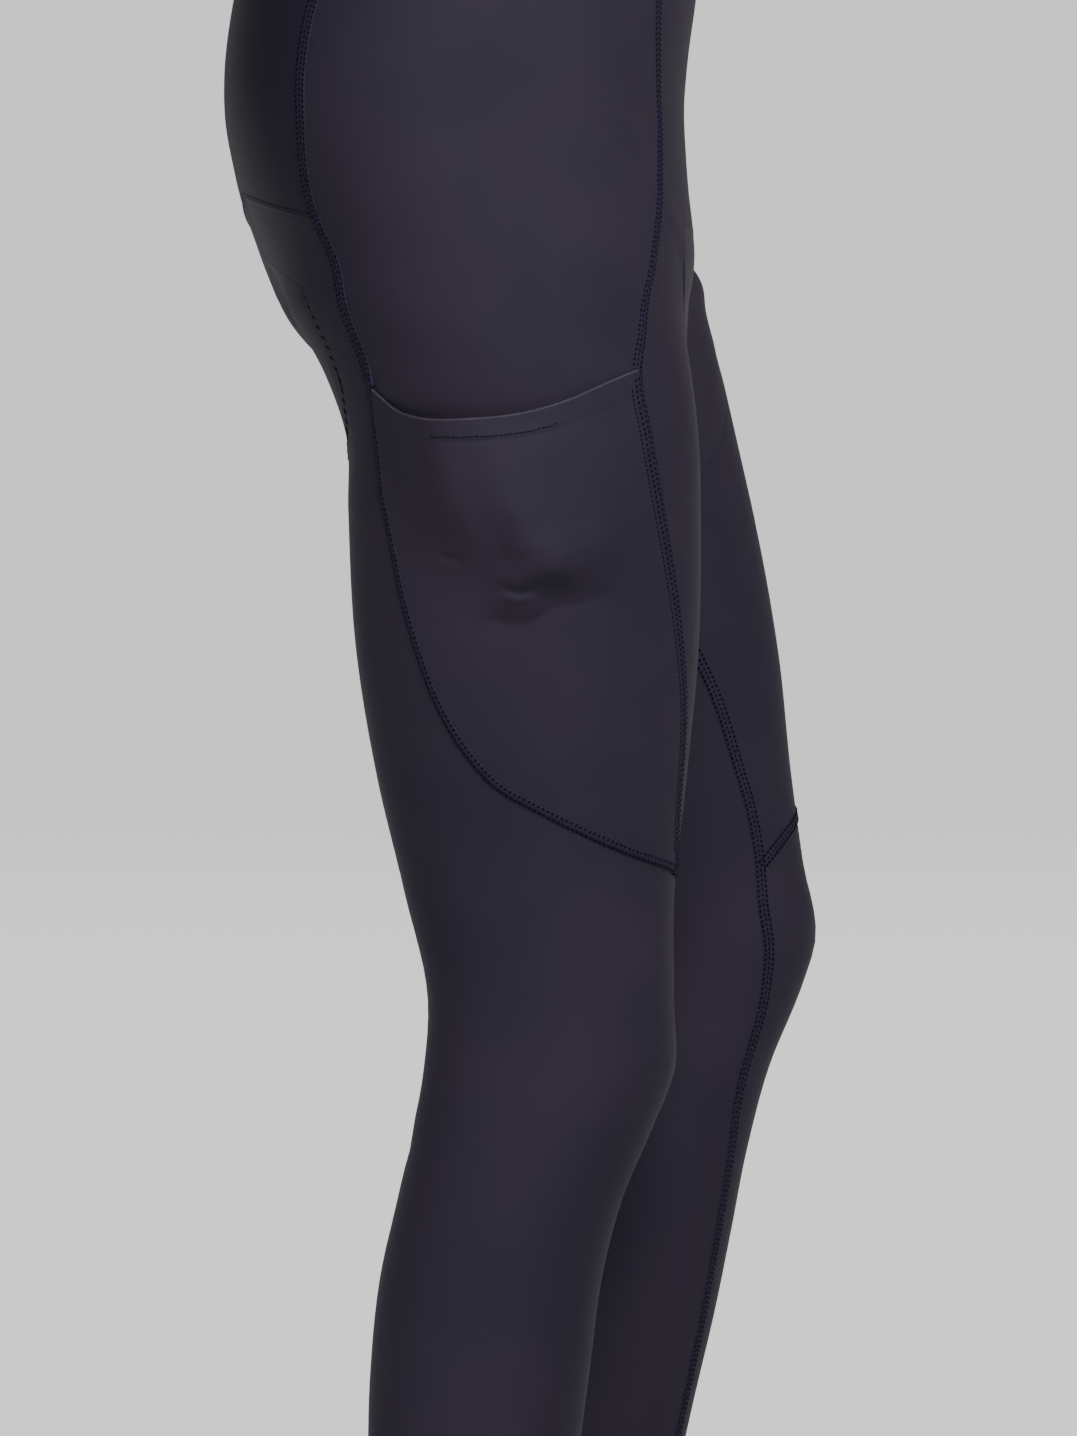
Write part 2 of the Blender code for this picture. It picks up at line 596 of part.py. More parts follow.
def gusset_grid(side, seams):
    """The part of the gusset that lies on one leg, from its seam to the arch between the legs."""
    edge = joined(seams["gusset_front"][::-1] + np.array([360.0, 0.0]), seams["gusset_back"])
    arch_front = even_line(side, ARCH_FRONT_LINE, ROWS_GUSSET_FRONT)
    arch_front[0] = seams["gusset_front_end"][ROWS_GUSSET_END // 2] + np.array([360.0, 0.0])
    arch_back = even_line(side, ARCH_BACK_LINE, ROWS_GUSSET_BACK)
    arch_back[-1] = seams["gusset_back_end"][ROWS_GUSSET_END // 2]
    return ruled(edge, joined(arch_front, arch_back), ROWS_GUSSET_END // 2)


def gusset_panel(seams):
    """The saddle gusset: a part on either leg, and between them an arch bowed through the crotch line."""
    crotch = table_curves(CROTCH_LINE, CROTCH_COLUMNS)
    stations = np.linspace(0, 1, ROWS_GUSSET_FRONT + ROWS_GUSSET_BACK + 1)
    middle = np.stack([np.zeros_like(stations), crotch["y"](stations), crotch["height"](stations)], axis=-1)
    grids = {side: gusset_grid(side, seams[side]) for side in (-1, 1)}
    right, left = (grid_points(side, grids[side]) for side in (-1, 1))
    share = np.linspace(0, 1, ROWS_GUSSET_END + 1)[None, :, None]
    start, end, middle = right[:, -1:], left[:, -1:], middle[:, None]
    arch = start * (1 - share) * (1 - 2 * share) + end * share * (2 * share - 1)
    arch += middle * 4 * share * (1 - share)
    half = ROWS_GUSSET_END // 2
    ends = {}
    for row, seam in ((0, "gusset_front_end"), (-1, "gusset_back_end")):
        chains = {side: seams[side][seam][half:] for side in (-1, 1)}
        arch[row] = np.concatenate([grid_points(-1, chains[-1]), grid_points(1, chains[1])[-2::-1]])
        arch[row, half] = sum(grid_points(side, chains[side][-1]) for side in (-1, 1)) / 2
        ends[row] = np.concatenate([grid_normals(-1, chains[-1]), grid_normals(1, chains[1])[-2::-1]])
    points = np.concatenate([right, arch[:, 1:-1], left[:, ::-1]], axis=1)
    normals = own_normals(points, -1)
    normals[:, :half + 1] = grid_normals(-1, grids[-1])
    normals[:, -half - 1:] = grid_normals(1, grids[1])[:, ::-1]
    for row in ends:
        normals[row, half:-half] = ends[row]
    return inset(points, normals), normals


def bib_panel():
    """The bib's back, from the waist seam up to the straps."""
    heights = np.linspace(WAIST_HEIGHT, BIB_TOP_HEIGHT, ROWS_BIB + 1)
    edge = table_curves(BIB_EDGE, SEAM_COLUMNS)["angle"](heights)
    grids = {}
    for side in (-1, 1):
        centre = np.array([angle_at(side, 0.0, height, True) for height in heights])
        grids[side] = ruled(np.stack([edge, heights], -1), np.stack([centre, heights], -1), COLUMNS_BIB_HALF)
    return mirrored_panel(grids)


def strap_panel(side, seams):
    """One strap, from the front's top edge over the shoulder to the top of the bib's back."""
    top_inner, top_outer = seams["centre"][-1], seams["front"][-1]
    shares = np.linspace(*STRAP_FRONT_SHARES, COLUMNS_STRAP + 1)[:, None]
    first = top_inner * (1 - shares) + top_outer * shares
    laterals = np.linspace(*STRAP_BACK_EDGES, COLUMNS_STRAP + 1)
    last = np.array([(angle_at(side, x, BIB_TOP_HEIGHT, True), BIB_TOP_HEIGHT) for x in laterals])
    across = np.linspace(-1, 1, COLUMNS_STRAP + 1)
    rows = [grid_points(side, first)]
    for _, y, height, lateral, half_width, drop in STRAP_PATH:
        place = [side * (lateral + half_width * across), np.full_like(across, y), height - drop * across]
        rows.append(np.stack(place, axis=-1))
    rows = np.stack([*rows, grid_points(side, last)])
    stations = np.concatenate([[0.0], column(STRAP_PATH, STRAP_COLUMNS, "station"), [1.0]])
    wanted = np.linspace(0, 1, ROWS_STRAP + 1)
    points = np.zeros((ROWS_STRAP + 1, COLUMNS_STRAP + 1, 3))
    for j in range(COLUMNS_STRAP + 1):
        for k in range(3):
            points[:, j, k] = smooth_curve(stations, rows[:, j, k])(wanted)
    normals = own_normals(points, side)
    normals[0], normals[-1] = grid_normals(side, first), grid_normals(side, last)
    return inset(points, normals), normals


def clear_scene():
    for old in list(bpy.data.objects):
        bpy.data.objects.remove(old, do_unlink=True)


def main():
    clear_scene()
    garment = bpy.data.collections.new("bib_tights")
    bpy.context.scene.collection.children.link(garment)
    cloth = material("navy_knit", CLOTH_COLOUR, 0.6)
    net = material("bib_net", MESH_COLOUR, 0.7)
    seams = {side: half_seams(side) for side in (-1, 1)}
    for side, word, swells in ((-1, "right", RIGHT_SWELLS), (1, "left", LEFT_SWELLS)):
        half = seams[side]
        panel(f"front_{word}", *half_panel(side, front_grid(half)), side, cloth, garment)
        panel(f"side_{word}", *half_panel(side, side_grid(half)), side, cloth, garment)
        panel(f"leg_{word}", *half_panel(side, leg_grid(half)), side, cloth, garment)
        panel(f"pocket_{word}", *pocket_panel(side, half, swells), side, cloth, garment)
        panel(f"strap_{word}", *strap_panel(side, half), side, net, garment)
    panel("seat", *seat_panel(seams), -1, cloth, garment)
    panel("gusset", *gusset_panel(seams), -1, cloth, garment)
    panel("bib_back", *bib_panel(), -1, net, garment)


main()
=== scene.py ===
"""Looks of the cycling bib tights: fine cloth shells on the panels' forms, their sewing, and a plain studio.

Metres, +Z up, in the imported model's frame. The tables and the surface functions repeat those of the CAD
part, so each shell lies on its solid's form. Here they are evaluated on a finer grid, and the cloth gets its
creases.
"""

import bmesh
import bpy
import numpy as np
from mathutils import Matrix


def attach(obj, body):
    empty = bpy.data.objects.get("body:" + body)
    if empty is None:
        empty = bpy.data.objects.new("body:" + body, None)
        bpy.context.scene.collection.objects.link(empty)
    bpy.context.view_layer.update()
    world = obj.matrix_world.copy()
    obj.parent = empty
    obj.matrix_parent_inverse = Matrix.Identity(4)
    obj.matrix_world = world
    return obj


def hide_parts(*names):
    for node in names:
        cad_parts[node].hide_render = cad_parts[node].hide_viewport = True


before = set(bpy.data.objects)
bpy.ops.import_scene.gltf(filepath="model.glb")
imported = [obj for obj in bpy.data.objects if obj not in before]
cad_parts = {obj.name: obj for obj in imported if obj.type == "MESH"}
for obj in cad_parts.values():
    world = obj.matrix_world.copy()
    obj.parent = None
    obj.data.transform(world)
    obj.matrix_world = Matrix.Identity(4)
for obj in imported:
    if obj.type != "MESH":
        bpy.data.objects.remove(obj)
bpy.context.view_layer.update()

# Driving sizes
CLOTH = 0.0012
SEAM_GAP = 0.0003
SHOULDER_HEIGHT = 1.500
WAIST_HEIGHT = 1.100
WAIST_FRONT_HEIGHT = 1.075
KNEE_HEIGHT = 0.530
LEFT_KNEE_LIFT = 0.031
CROTCH_BLEND = {-1: (0.790, 0.904), 1: (0.820, 0.908)}
# The raised left thigh's front runs on higher: by how much, and between which angles
THIGH_RISE = {-1: 0.0, 1: 0.036}
THIGH_FRONT = (-38.0, 0.0, 70.0, 130.0)
CROTCH_HEIGHT = 0.795
AXIS_BLEND = (0.740, 0.950)
TORSO_AXIS_LATERAL = 0.088

# Leg sections: height, front and back edge (y), inner and outer edge (distance from the middle plane)
LEG_COLUMNS = ("height", "front", "back", "inner", "outer")
RIGHT_LEG = (
    (0.090, -0.0120, 0.0610, 0.055, 0.116),
    (0.150, -0.0250, 0.0510, 0.051, 0.119),
    (0.215, -0.0390, 0.0480, 0.042, 0.127),
    (0.286, -0.0540, 0.0500, 0.033, 0.136),
    (0.336, -0.0609, 0.0489, 0.030, 0.1395),
    (0.385, -0.0676, 0.0437, 0.031, 0.1395),
    (0.423, -0.0775, 0.0352, 0.034, 0.1385),
    (0.459, -0.0928, 0.0272, 0.036, 0.138),
    (0.4875, -0.1037, 0.0223, 0.036, 0.1385),
    (0.520, -0.1035, 0.0200, 0.034, 0.139),
    (0.577, -0.1038, 0.0320, 0.028, 0.143),
    (0.633, -0.1096, 0.0454, 0.022, 0.151),
    (0.699, -0.1155, 0.0563, 0.016, 0.160),
    (0.768, -0.1164, 0.0601, 0.011, 0.166),
    (0.805, -0.1156, 0.0611, 0.009, 0.168),
    (0.838, -0.1135, 0.0727, 0.006, 0.170),
    (0.880, -0.1010, 0.0980, 0.002, 0.172),
    (0.930, -0.1000, 0.1120, 0.000, 0.172),
)
LEFT_LEG = (
    (0.122, -0.0920, -0.0190, 0.055, 0.116),
    (0.180, -0.1060, -0.0270, 0.051, 0.119),
    (0.262, -0.1240, -0.0290, 0.037, 0.131),
    (0.303, -0.1333, -0.0300, 0.033, 0.136),
    (0.347, -0.1438, -0.0330, 0.030, 0.1395),
    (0.391, -0.1529, -0.0420, 0.031, 0.1395),
    (0.435, -0.1617, -0.0540, 0.033, 0.1385),
    (0.479, -0.1739, -0.0660, 0.036, 0.138),
    (0.5226, -0.1919, -0.0720, 0.036, 0.1385),
    (0.5445, -0.1983, -0.0680, 0.034, 0.139),
    (0.588, -0.1916, -0.0450, 0.030, 0.142),
    (0.632, -0.1856, -0.0250, 0.025, 0.149),
    (0.698, -0.1787, 0.0000, 0.018, 0.159),
    (0.764, -0.1670, 0.0180, 0.012, 0.166),
    (0.808, -0.1570, 0.0300, 0.009, 0.168),
    (0.838, -0.1500, 0.0460, 0.006, 0.170),
    (0.860, -0.1448, 0.0640, 0.004, 0.171),
    (0.880, -0.1461, 0.0800, 0.002, 0.172),
    (0.900, -0.1575, 0.0960, 0.001, 0.172),
    (0.930, -0.1445, 0.1120, 0.000, 0.172),
    (0.960, -0.1300, 0.1150, 0.000, 0.171),
)

# Torso sections: height, front and back edge (y), half width
TORSO_COLUMNS = ("height", "front", "back", "half_width")
TORSO = (
    (0.780, -0.1180, 0.0600, 0.167),
    (0.846, -0.1195, 0.0790, 0.170),
    (0.867, -0.1205, 0.0893, 0.171),
    (0.888, -0.1213, 0.0945, 0.172),
    (0.910, -0.1204, 0.1017, 0.172),
    (0.931, -0.1181, 0.1091, 0.1715),
    (0.952, -0.1166, 0.1142, 0.170),
    (0.9735, -0.1158, 0.1180, 0.168),
    (0.995, -0.1174, 0.1186, 0.165),
    (1.037, -0.1231, 0.1135, 0.156),
    (1.075, -0.1270, 0.1050, 0.147),
    (1.110, -0.1280, 0.1000, 0.142),
    (1.180, -0.1250, 0.1010, 0.144),
    (1.260, -0.1240, 0.1130, 0.151),
    (1.330, -0.1200, 0.1230, 0.157),
    (1.390, -0.1120, 0.1240, 0.158),
    (1.430, -0.1000, 0.1190, 0.153),
)
LEG_ROUNDNESS = 2.15
TORSO_ROUNDNESS = (2.35, 2.8)

# Seams of the right half as angle in degrees at a height; the left half's knee is lifted
SEAM_COLUMNS = ("height", "angle")
OUTER_FRONT_SEAM = (
    (0.588, 17.0), (0.624, 21.5), (0.648, 22.5), (0.674, 25.5), (0.700, 30.5), (0.729, 36.0), (0.767, 43.4),
    (0.803, 49.0), (0.834, 49.5), (0.857, 41.5), (0.878, 35.5), (0.898, 31.0), (0.922, 24.0), (0.956, 17.0),
    (1.020, 17.5), (1.100, 20.0),
)
BACK_SEAM = (
    (0.826, 147.5), (0.855, 147.8), (0.884, 148.0), (0.9095, 153.5), (0.937, 152.4), (0.963, 150.3),
    (1.016, 149.0), (1.100, 147.0),
)
INNER_SEAM = (
    (0.090, -31.0), (0.200, -33.0), (0.300, -35.5), (0.370, -38.5), (0.400, -40.5), (0.430, -46.0),
    (0.470, -48.5), (0.500, -51.5), (0.528, -52.5), (0.555, -46.0), (0.585, -45.0), (0.615, -48.0),
    (0.665, -55.0), (0.700, -64.0), (0.728, -76.0), (0.752, -88.0),
)
KNEE_SEAM_INNER_HEIGHT = 0.555
KNEE_SEAM_OUTER_HEIGHT = 0.588
POCKET_FRONT_CORNER_HEIGHT = 0.834
POCKET_BACK_CORNER_HEIGHT = 0.826
KNEE_BOW = 0.009
HEM_TILT = 0.005
SEAT_SEAM_HEIGHT = 0.9095
SEAT_SEAM_CENTRE_HEIGHT = 0.932
FAN_BACK_HEIGHT = 0.874
FAN_FRONT_HEIGHT = 0.880
SEAT_LEVEL_FRONT_HEIGHT = 0.916
GUSSET_LOW_HEIGHT = 0.752
GUSSET_TOP_HEIGHT = 0.911
GUSSET_BACK_HEIGHT = 0.899

# Lines that turn back on themselves, as angle and height pairs
POCKET_LINE = (
    (17.0, 0.588), (49.9, 0.5974), (73.2, 0.608), (92.0, 0.6184), (109.7, 0.6302), (120.9, 0.6463),
    (130.0, 0.6684), (136.2, 0.6949), (140.7, 0.7214), (144.5, 0.751), (148.6, 0.7806), (149.8, 0.808),
    (147.5, 0.826),
)
GUSSET_FRONT_LINE = (
    (-88.0, 0.752), (-70.0, 0.766), (-48.0, 0.785), (-30.0, 0.804), (-16.0, 0.825), (-6.0, 0.848),
    (1.0, 0.870), (5.0, 0.890), (5.0, 0.911),
)
GUSSET_BACK_LINE = (
    (272.0, 0.752), (252.0, 0.760), (228.0, 0.771), (206.0, 0.782), (187.0, 0.794), (174.0, 0.808),
    (168.5, 0.823), (166.8, 0.838), (166.6, 0.850), (168.0, 0.864), (171.0, 0.877),
)
ARCH_FRONT_LINE = (
    (338.0, 0.911), (336.0, 0.885), (332.0, 0.858), (320.0, 0.828), (298.0, 0.803), (270.0, 0.790),
)
ARCH_BACK_LINE = (
    (270.0, 0.790), (250.0, 0.793), (229.0, 0.803), (213.0, 0.822), (204.0, 0.846), (201.0, 0.868),
    (202.0, 0.886),
)

# Crotch line on the middle plane, from the gusset's front edge under the legs to its back edge
CROTCH_COLUMNS = ("station", "y", "height")
CROTCH_LINE = (
    (0.00, -0.1211, 0.911),
    (0.12, -0.1215, 0.885),
    (0.24, -0.1170, 0.860),
    (0.36, -0.1000, 0.836),
    (0.467, -0.0600, 0.818),
    (0.56, -0.0150, 0.814),
    (0.66, 0.0220, 0.822),
    (0.76, 0.0520, 0.840),
    (0.88, 0.0760, 0.865),
    (1.00, 0.0960, 0.899),
)

# Straps: distance along, y, height, distance from the middle plane, half width, drop of the outer edge
STRAP_COLUMNS = ("station", "y", "height", "lateral", "half_width", "drop")
STRAP_PATH = (
    (0.10, -0.1290, 1.160, 0.087, 0.0260, 0.000),
    (0.22, -0.1265, 1.245, 0.092, 0.0235, 0.000),
    (0.34, -0.1190, 1.330, 0.098, 0.0225, 0.001),
    (0.46, -0.1020, 1.410, 0.103, 0.0225, 0.003),
    (0.56, -0.0630, 1.468, 0.104, 0.0225, 0.006),
    (0.66, 0.0050, 1.500, 0.100, 0.0225, 0.008),
    (0.78, 0.0760, 1.475, 0.085, 0.0225, 0.005),
    (0.90, 0.1185, 1.420, 0.062, 0.0240, 0.001),
)
STRAP_FRONT_SHARES = (0.36, 0.80)
STRAP_BACK_EDGES = (0.022, 0.072)
BIB_TOP_HEIGHT = 1.390
BIB_EDGE = ((1.100, 118.0), (1.150, 134.0), (1.210, 152.0), (1.280, 168.0), (1.335, 177.0), (1.390, 184.5))

# The pocket's mouth: share of the way across, and how far it dips in metres
MOUTH_COLUMNS = ("share", "dip")
MOUTH = (
    (0.00, 0.0), (0.15, 0.0076), (0.27, 0.0138), (0.45, 0.0188), (0.62, 0.0185), (0.77, 0.0155),
    (0.92, 0.0078), (1.00, 0.0),
)
POCKET_BASE_LIFT = 0.0004

# Swellings of the filled pocket: middle height and share across, reach up, down and across, and lift
SWELL_COLUMNS = ("height", "share", "up", "down", "half_share", "lift")
SWELLS = {
    -1: (
        (0.760, 0.50, 0.200, 0.062, 0.24, 0.0150),
        (0.790, 0.70, 0.200, 0.060, 0.13, 0.0080),
        (0.738, 0.47, 0.034, 0.014, 0.07, 0.0050),
    ),
    1: ((0.780, 0.52, 0.200, 0.110, 0.26, 0.0120),),
}

# Mesh counts: rows along the seams, columns between them
ROWS_LOW = 14
ROWS_KNEE = 4
ROWS_POCKET = 16
ROWS_BACK_LOWER = 4
ROWS_BACK_UPPER = 8
ROWS_SEAT = 10
ROWS_INNER = 12
ROWS_GUSSET_BACK = 12
ROWS_GUSSET_FRONT = 16
ROWS_GUSSET_END = 6
ROWS_CENTRE_BACK = 2
ROWS_CENTRE = 4
COLUMNS_FRONT = 8
BOW_ROWS = 4
HEM_ROWS = 4
COLUMNS_LEG = 16
COLUMNS_SIDE = 8
COLUMNS_SEAT_HALF = 8
COLUMNS_STRAP = 3
ROWS_STRAP = 22
ROWS_BIB = 8
COLUMNS_BIB_HALF = 5

# Finer rows in each cut panel than in its solid
FINE = {"front": 4, "side": 4, "leg": 4, "pocket": 12, "seat": 4, "gusset": 8, "bib": 4, "strap": 5}

# Soft creases of the cloth: which half (0 for both), the line as angle and height, half width and lift in
# metres
CREASE_COLUMNS = ("side", "line", "half_width", "lift")
CREASES = (
    (-1, ((24.0, 0.497), (31.0, 0.504), (39.0, 0.508)), 0.0050, 0.0005),
    (-1, ((23.0, 0.489), (32.0, 0.495), (41.0, 0.498)), 0.0045, -0.0004),
    (0, ((150.0, 0.452), (180.0, 0.447), (214.0, 0.452)), 0.0060, -0.0005),
    (0, ((156.0, 0.470), (184.0, 0.466), (208.0, 0.471)), 0.0045, 0.0003),
    (1, ((160.0, 0.488), (190.0, 0.482), (222.0, 0.489)), 0.0050, -0.0007),
    (1, ((156.0, 0.431), (186.0, 0.428), (210.0, 0.434)), 0.0055, -0.0006),
    (0, ((18.0, 0.905), (4.0, 0.884), (-10.0, 0.862)), 0.0070, -0.0007),
    (0, ((26.0, 0.930), (12.0, 0.908), (0.0, 0.890)), 0.0060, 0.0005),
    (0, ((158.0, 0.836), (176.0, 0.826), (196.0, 0.822)), 0.0070, -0.0008),
    (0, ((40.0, 0.140), (85.0, 0.134), (130.0, 0.139)), 0.0050, -0.0004),
    (0, ((190.0, 0.150), (228.0, 0.143), (262.0, 0.149)), 0.0050, -0.0005),
)

# Forms under the right pocket's cloth, as lines of y and height above the sole
FOLD_COLUMNS = ("line", "half_width", "lift", "round_ends")
POCKET_FOLDS = (
    (((-0.0250, 0.810), (-0.0215, 0.782), (-0.0200, 0.752)), 0.0170, 0.0026, False),
    (((-0.0190, 0.776), (-0.0192, 0.756), (-0.0194, 0.733)), 0.0075, 0.0018, False),
    (((0.0040, 0.806), (0.0000, 0.782), (-0.0045, 0.758), (-0.0098, 0.736)), 0.0060, -0.0008, False),
    (((0.0144, 0.806), (0.0140, 0.776), (0.0133, 0.748)), 0.0075, 0.0009, False),
    (((-0.0170, 0.7322), (-0.0194, 0.7316), (-0.0220, 0.7322)), 0.0072, 0.0030, True),
    (((-0.0090, 0.7306), (-0.0132, 0.7270), (-0.0189, 0.7253), (-0.0245, 0.7264), (-0.0288, 0.7302)),
     0.0017, -0.0016, False),
    (((-0.0103, 0.7266), (-0.0146, 0.7228), (-0.0190, 0.7214), (-0.0238, 0.7225), (-0.0275, 0.7260)),
     0.0018, 0.0013, False),
    (((0.0190, 0.7446), (0.0120, 0.7413), (0.0040, 0.7392)), 0.0022, -0.0010, False),
    (((0.0170, 0.7400), (0.0110, 0.7374), (0.0050, 0.7362)), 0.0026, 0.0005, False),
    (((-0.0400, 0.7440), (-0.0490, 0.7460), (-0.0600, 0.7520)), 0.0120, 0.0032, True),
    (((-0.0380, 0.7160), (-0.0480, 0.7140), (-0.0560, 0.7180)), 0.0120, -0.0030, True),
    (((-0.0150, 0.7190), (-0.0200, 0.7180), (-0.0250, 0.7190)), 0.0085, 0.0022, True),
    (((-0.0100, 0.7010), (-0.0210, 0.6980), (-0.0320, 0.7000)), 0.0110, -0.0030, True),
)

# Folded hems: their depth, how far the fold raises the cloth, and the radii of the folded edges
MOUTH_HEM = 0.0105
ANKLE_HEM = 0.020
MOUTH_HEM_LIFT = 0.00030
MOUTH_GROOVE = 0.00060
ANKLE_HEM_LIFT = 0.00035
WAIST_EDGE_RADIUS = 0.00085
ANKLE_EDGE_RADIUS = 0.00095
MOUTH_EDGE_RADIUS = 0.00072
BIB_EDGE_RADIUS = 0.00110
EDGE_SIDES = 8

# Sewing: width, height and sunk depth of the flatlock band, stitch pitches, and the stitch rows across it
BAND_WIDTH = 0.0070
BAND_HEIGHT = 0.00050
BAND_SINK = 0.0006
NARROW_WIDTH = 0.0032
KNEE_WIDTH = 0.0044
POCKET_WIDTH = 0.0046
STITCH_PITCH = 0.0026
MOUTH_PITCH = 0.0024
TOPSTITCH_PITCH = 0.0022
STRAP_PITCH = 0.0030
CHAIN_SPACING = 0.0015
ROW_COLUMNS = ("across", "angle", "length", "width", "height")
FLATLOCK_ROWS = (
    (-0.00235, 18.0, 0.00180, 0.00125, 0.00040),
    (0.00000, 0.0, 0.00170, 0.00110, 0.00040),
    (0.00235, -18.0, 0.00180, 0.00125, 0.00040),
)
POCKET_ROWS = ((-0.0012, 16.0, 0.0018, 0.00120, 0.00036), (0.0012, -16.0, 0.0018, 0.00120, 0.00036))
HEM_STITCH_ROWS = ((-0.0014, 0.0, 0.0021, 0.00050, 0.00024), (0.0014, 0.0, 0.0021, 0.00050, 0.00024))
SINGLE_ROW = ((0.0, 0.0, 0.0016, 0.00075, 0.00026),)
TOPSTITCH_REACH = 0.0050
ZIGZAG_PITCH = 0.0056
ZIGZAG_ROWS = ((0.0, 52.0, 0.0044, 0.00120, 0.00045),)
PLAIN = {"cloth": "knit", "rows": (), "width": 0.0016, "height": 0.00012}
SEAM_FINE = 4
LINE_SAMPLES = 1200

# Knit: the wave texture's scale for ribs 1 m apart, the tone of lint, and the tint of the sheen
WAVE_SCALE = 0.314159
LINT_COLOUR = (0.10, 0.09, 0.12)
SHEEN_TINT = (0.95, 0.78, 0.86)

# Studio: tones of the backdrop and of the light from elsewhere; lights as name, place, target, size, power
# and spread
BACKDROP = (0.985, 0.985, 0.985)
FLOOR_GLOW = (1.16, 1.16, 1.16)
AMBIENT = (0.19, 0.19, 0.19)
AMBIENT_BACK = (0.055, 0.05, 0.065)
AMBIENT_FADE = (-0.15, 0.75)
BACKDROP_SPREAD = (0.80, 0.97)
FLOOR_COLOUR = (0.60, 0.60, 0.60)
FLOOR_FADE = (0.7, 2.0)
HORIZON_FADE = (6.0, 34.0)
LIGHTS = (
    ("key_light", (-2.20, -0.50, 0.7), (0.0, 0.0, -0.62), 1.5, 120.0, 180.0),
    ("front_light", (-1.2, -2.6, 0.2), (0.0, 0.0, -0.75), 1.4, 9.0, 180.0),
    ("low_light", (-1.1, 1.6, -1.35), (0.0, 0.0, -1.45), 0.8, 3.0, 60.0),
)
FLOOR_RADIUS = 40.0
CAMERA_TURN = 5.0
CAMERA_DISTANCE = 3.0
FOCAL_PIXELS = 5810.0
PHOTO_HEIGHT = 1436.0
SENSOR = 36.0
AIM_Y = -0.043
AIM_HEIGHT = 0.6635

# From heights above the sole to the model's frame, whose origin is at the shoulders
ORIGIN_LIFT = np.array([0.0, 0.0, SHOULDER_HEIGHT])


def column(table, names, name):
    """One named column of a table, as an array."""
    return np.array([row[names.index(name)] for row in table], float)


def smooth_curve(places, values):
    """A smooth curve through the rows of a table: cubic pieces with slopes from the neighbouring rows."""
    slopes = np.gradient(values, places)

    def at(place):
        place = np.clip(place, places[0], places[-1])
        k = np.clip(np.searchsorted(places, place) - 1, 0, len(places) - 2)
        span = places[k + 1] - places[k]
        t = (place - places[k]) / span
        rise = values[k + 1] - values[k]
        start, end = slopes[k] * span, slopes[k + 1] * span
        return values[k] + t * start + t**2 * (3 * rise - 2 * start - end) + t**3 * (start + end - 2 * rise)

    return at


def table_curves(table, names):
    """Every column of a table as a smooth curve over its first column."""
    places = column(table, names, names[0])
    return {name: smooth_curve(places, column(table, names, name)) for name in names[1:]}


def smooth_step(low, high, value):
    """0 below low, 1 above high, and smooth between them."""
    t = np.clip((value - low) / (high - low), 0.0, 1.0)
    return t * t * (3 - 2 * t)


LEGS = {-1: table_curves(RIGHT_LEG, LEG_COLUMNS), 1: table_curves(LEFT_LEG, LEG_COLUMNS)}
TRUNK = table_curves(TORSO, TORSO_COLUMNS)


def axis_of(side, height):
    """The axis that a half's angles run round: the leg's middle, moving to the torso's above the crotch."""
    leg = LEGS[side]
    share = smooth_step(*AXIS_BLEND, height)
    lateral = (leg["inner"](height) + leg["outer"](height)) / 2
    depth = (leg["front"](height) + leg["back"](height)) / 2
    torso_depth = (TRUNK["front"](height) + TRUNK["back"](height)) / 2
    return lateral + share * (TORSO_AXIS_LATERAL - lateral), depth + share * (torso_depth - depth)


def section_reach(origin, angle, centre, half_width, half_depth, roundness):
    """How far a ray at an angle goes from its origin to a rounded section, by halving."""
    low, high = np.zeros_like(angle), np.full_like(angle, 0.6)
    for _ in range(40):
        middle = (low + high) / 2
        across = np.abs(origin[0] + middle * np.sin(angle) - centre[0]) / half_width
        along = np.abs(origin[1] - middle * np.cos(angle) - centre[1]) / half_depth
        inside = across**roundness + along**roundness < 1
        low, high = np.where(inside, middle, low), np.where(inside, high, middle)
    return (low + high) / 2


def surface(side, angle_degrees, height):
    """The cloth's outer face at an angle and a height, as x, y and height above the sole."""
    angle, height = np.broadcast_arrays(np.radians(angle_degrees), np.asarray(height, float))
    leg = LEGS[side]
    origin = axis_of(side, height)
    front, back = leg["front"](height), leg["back"](height)
    inner, outer = leg["inner"](height), leg["outer"](height)
    leg_reach = section_reach(
        origin, angle, ((inner + outer) / 2, (front + back) / 2), (outer - inner) / 2, (back - front) / 2,
        LEG_ROUNDNESS,
    )
    front, back = TRUNK["front"](height), TRUNK["back"](height)
    backward = (1 - np.cos(angle)) / 2
    roundness = TORSO_ROUNDNESS[0] + (TORSO_ROUNDNESS[1] - TORSO_ROUNDNESS[0]) * backward
    torso_reach = section_reach(
        origin, angle, (0.0, (front + back) / 2), TRUNK["half_width"](height), (back - front) / 2, roundness
    )
    turn = (np.degrees(angle) + 90.0) % 360.0 - 90.0
    ahead = smooth_step(*THIGH_FRONT[:2], turn) * (1 - smooth_step(*THIGH_FRONT[2:], turn))
    share = smooth_step(*CROTCH_BLEND[side], height - THIGH_RISE[side] * ahead)
    reach = leg_reach + share * (torso_reach - leg_reach)
    return np.stack(
        [side * (origin[0] + reach * np.sin(angle)), origin[1] - reach * np.cos(angle), height], axis=-1
    )


def angle_at(side, lateral, height, backward):
    """The angle of the torso point that lies a distance from the middle plane, in front or behind."""
    low, high = (180.0, 268.0) if backward else (-88.0, 60.0)
    for _ in range(40):
        middle = (low + high) / 2
        beyond = side * surface(side, middle, height)[0] < lateral
        if beyond == backward:
            high = middle
        else:
            low = middle
    return (low + high) / 2


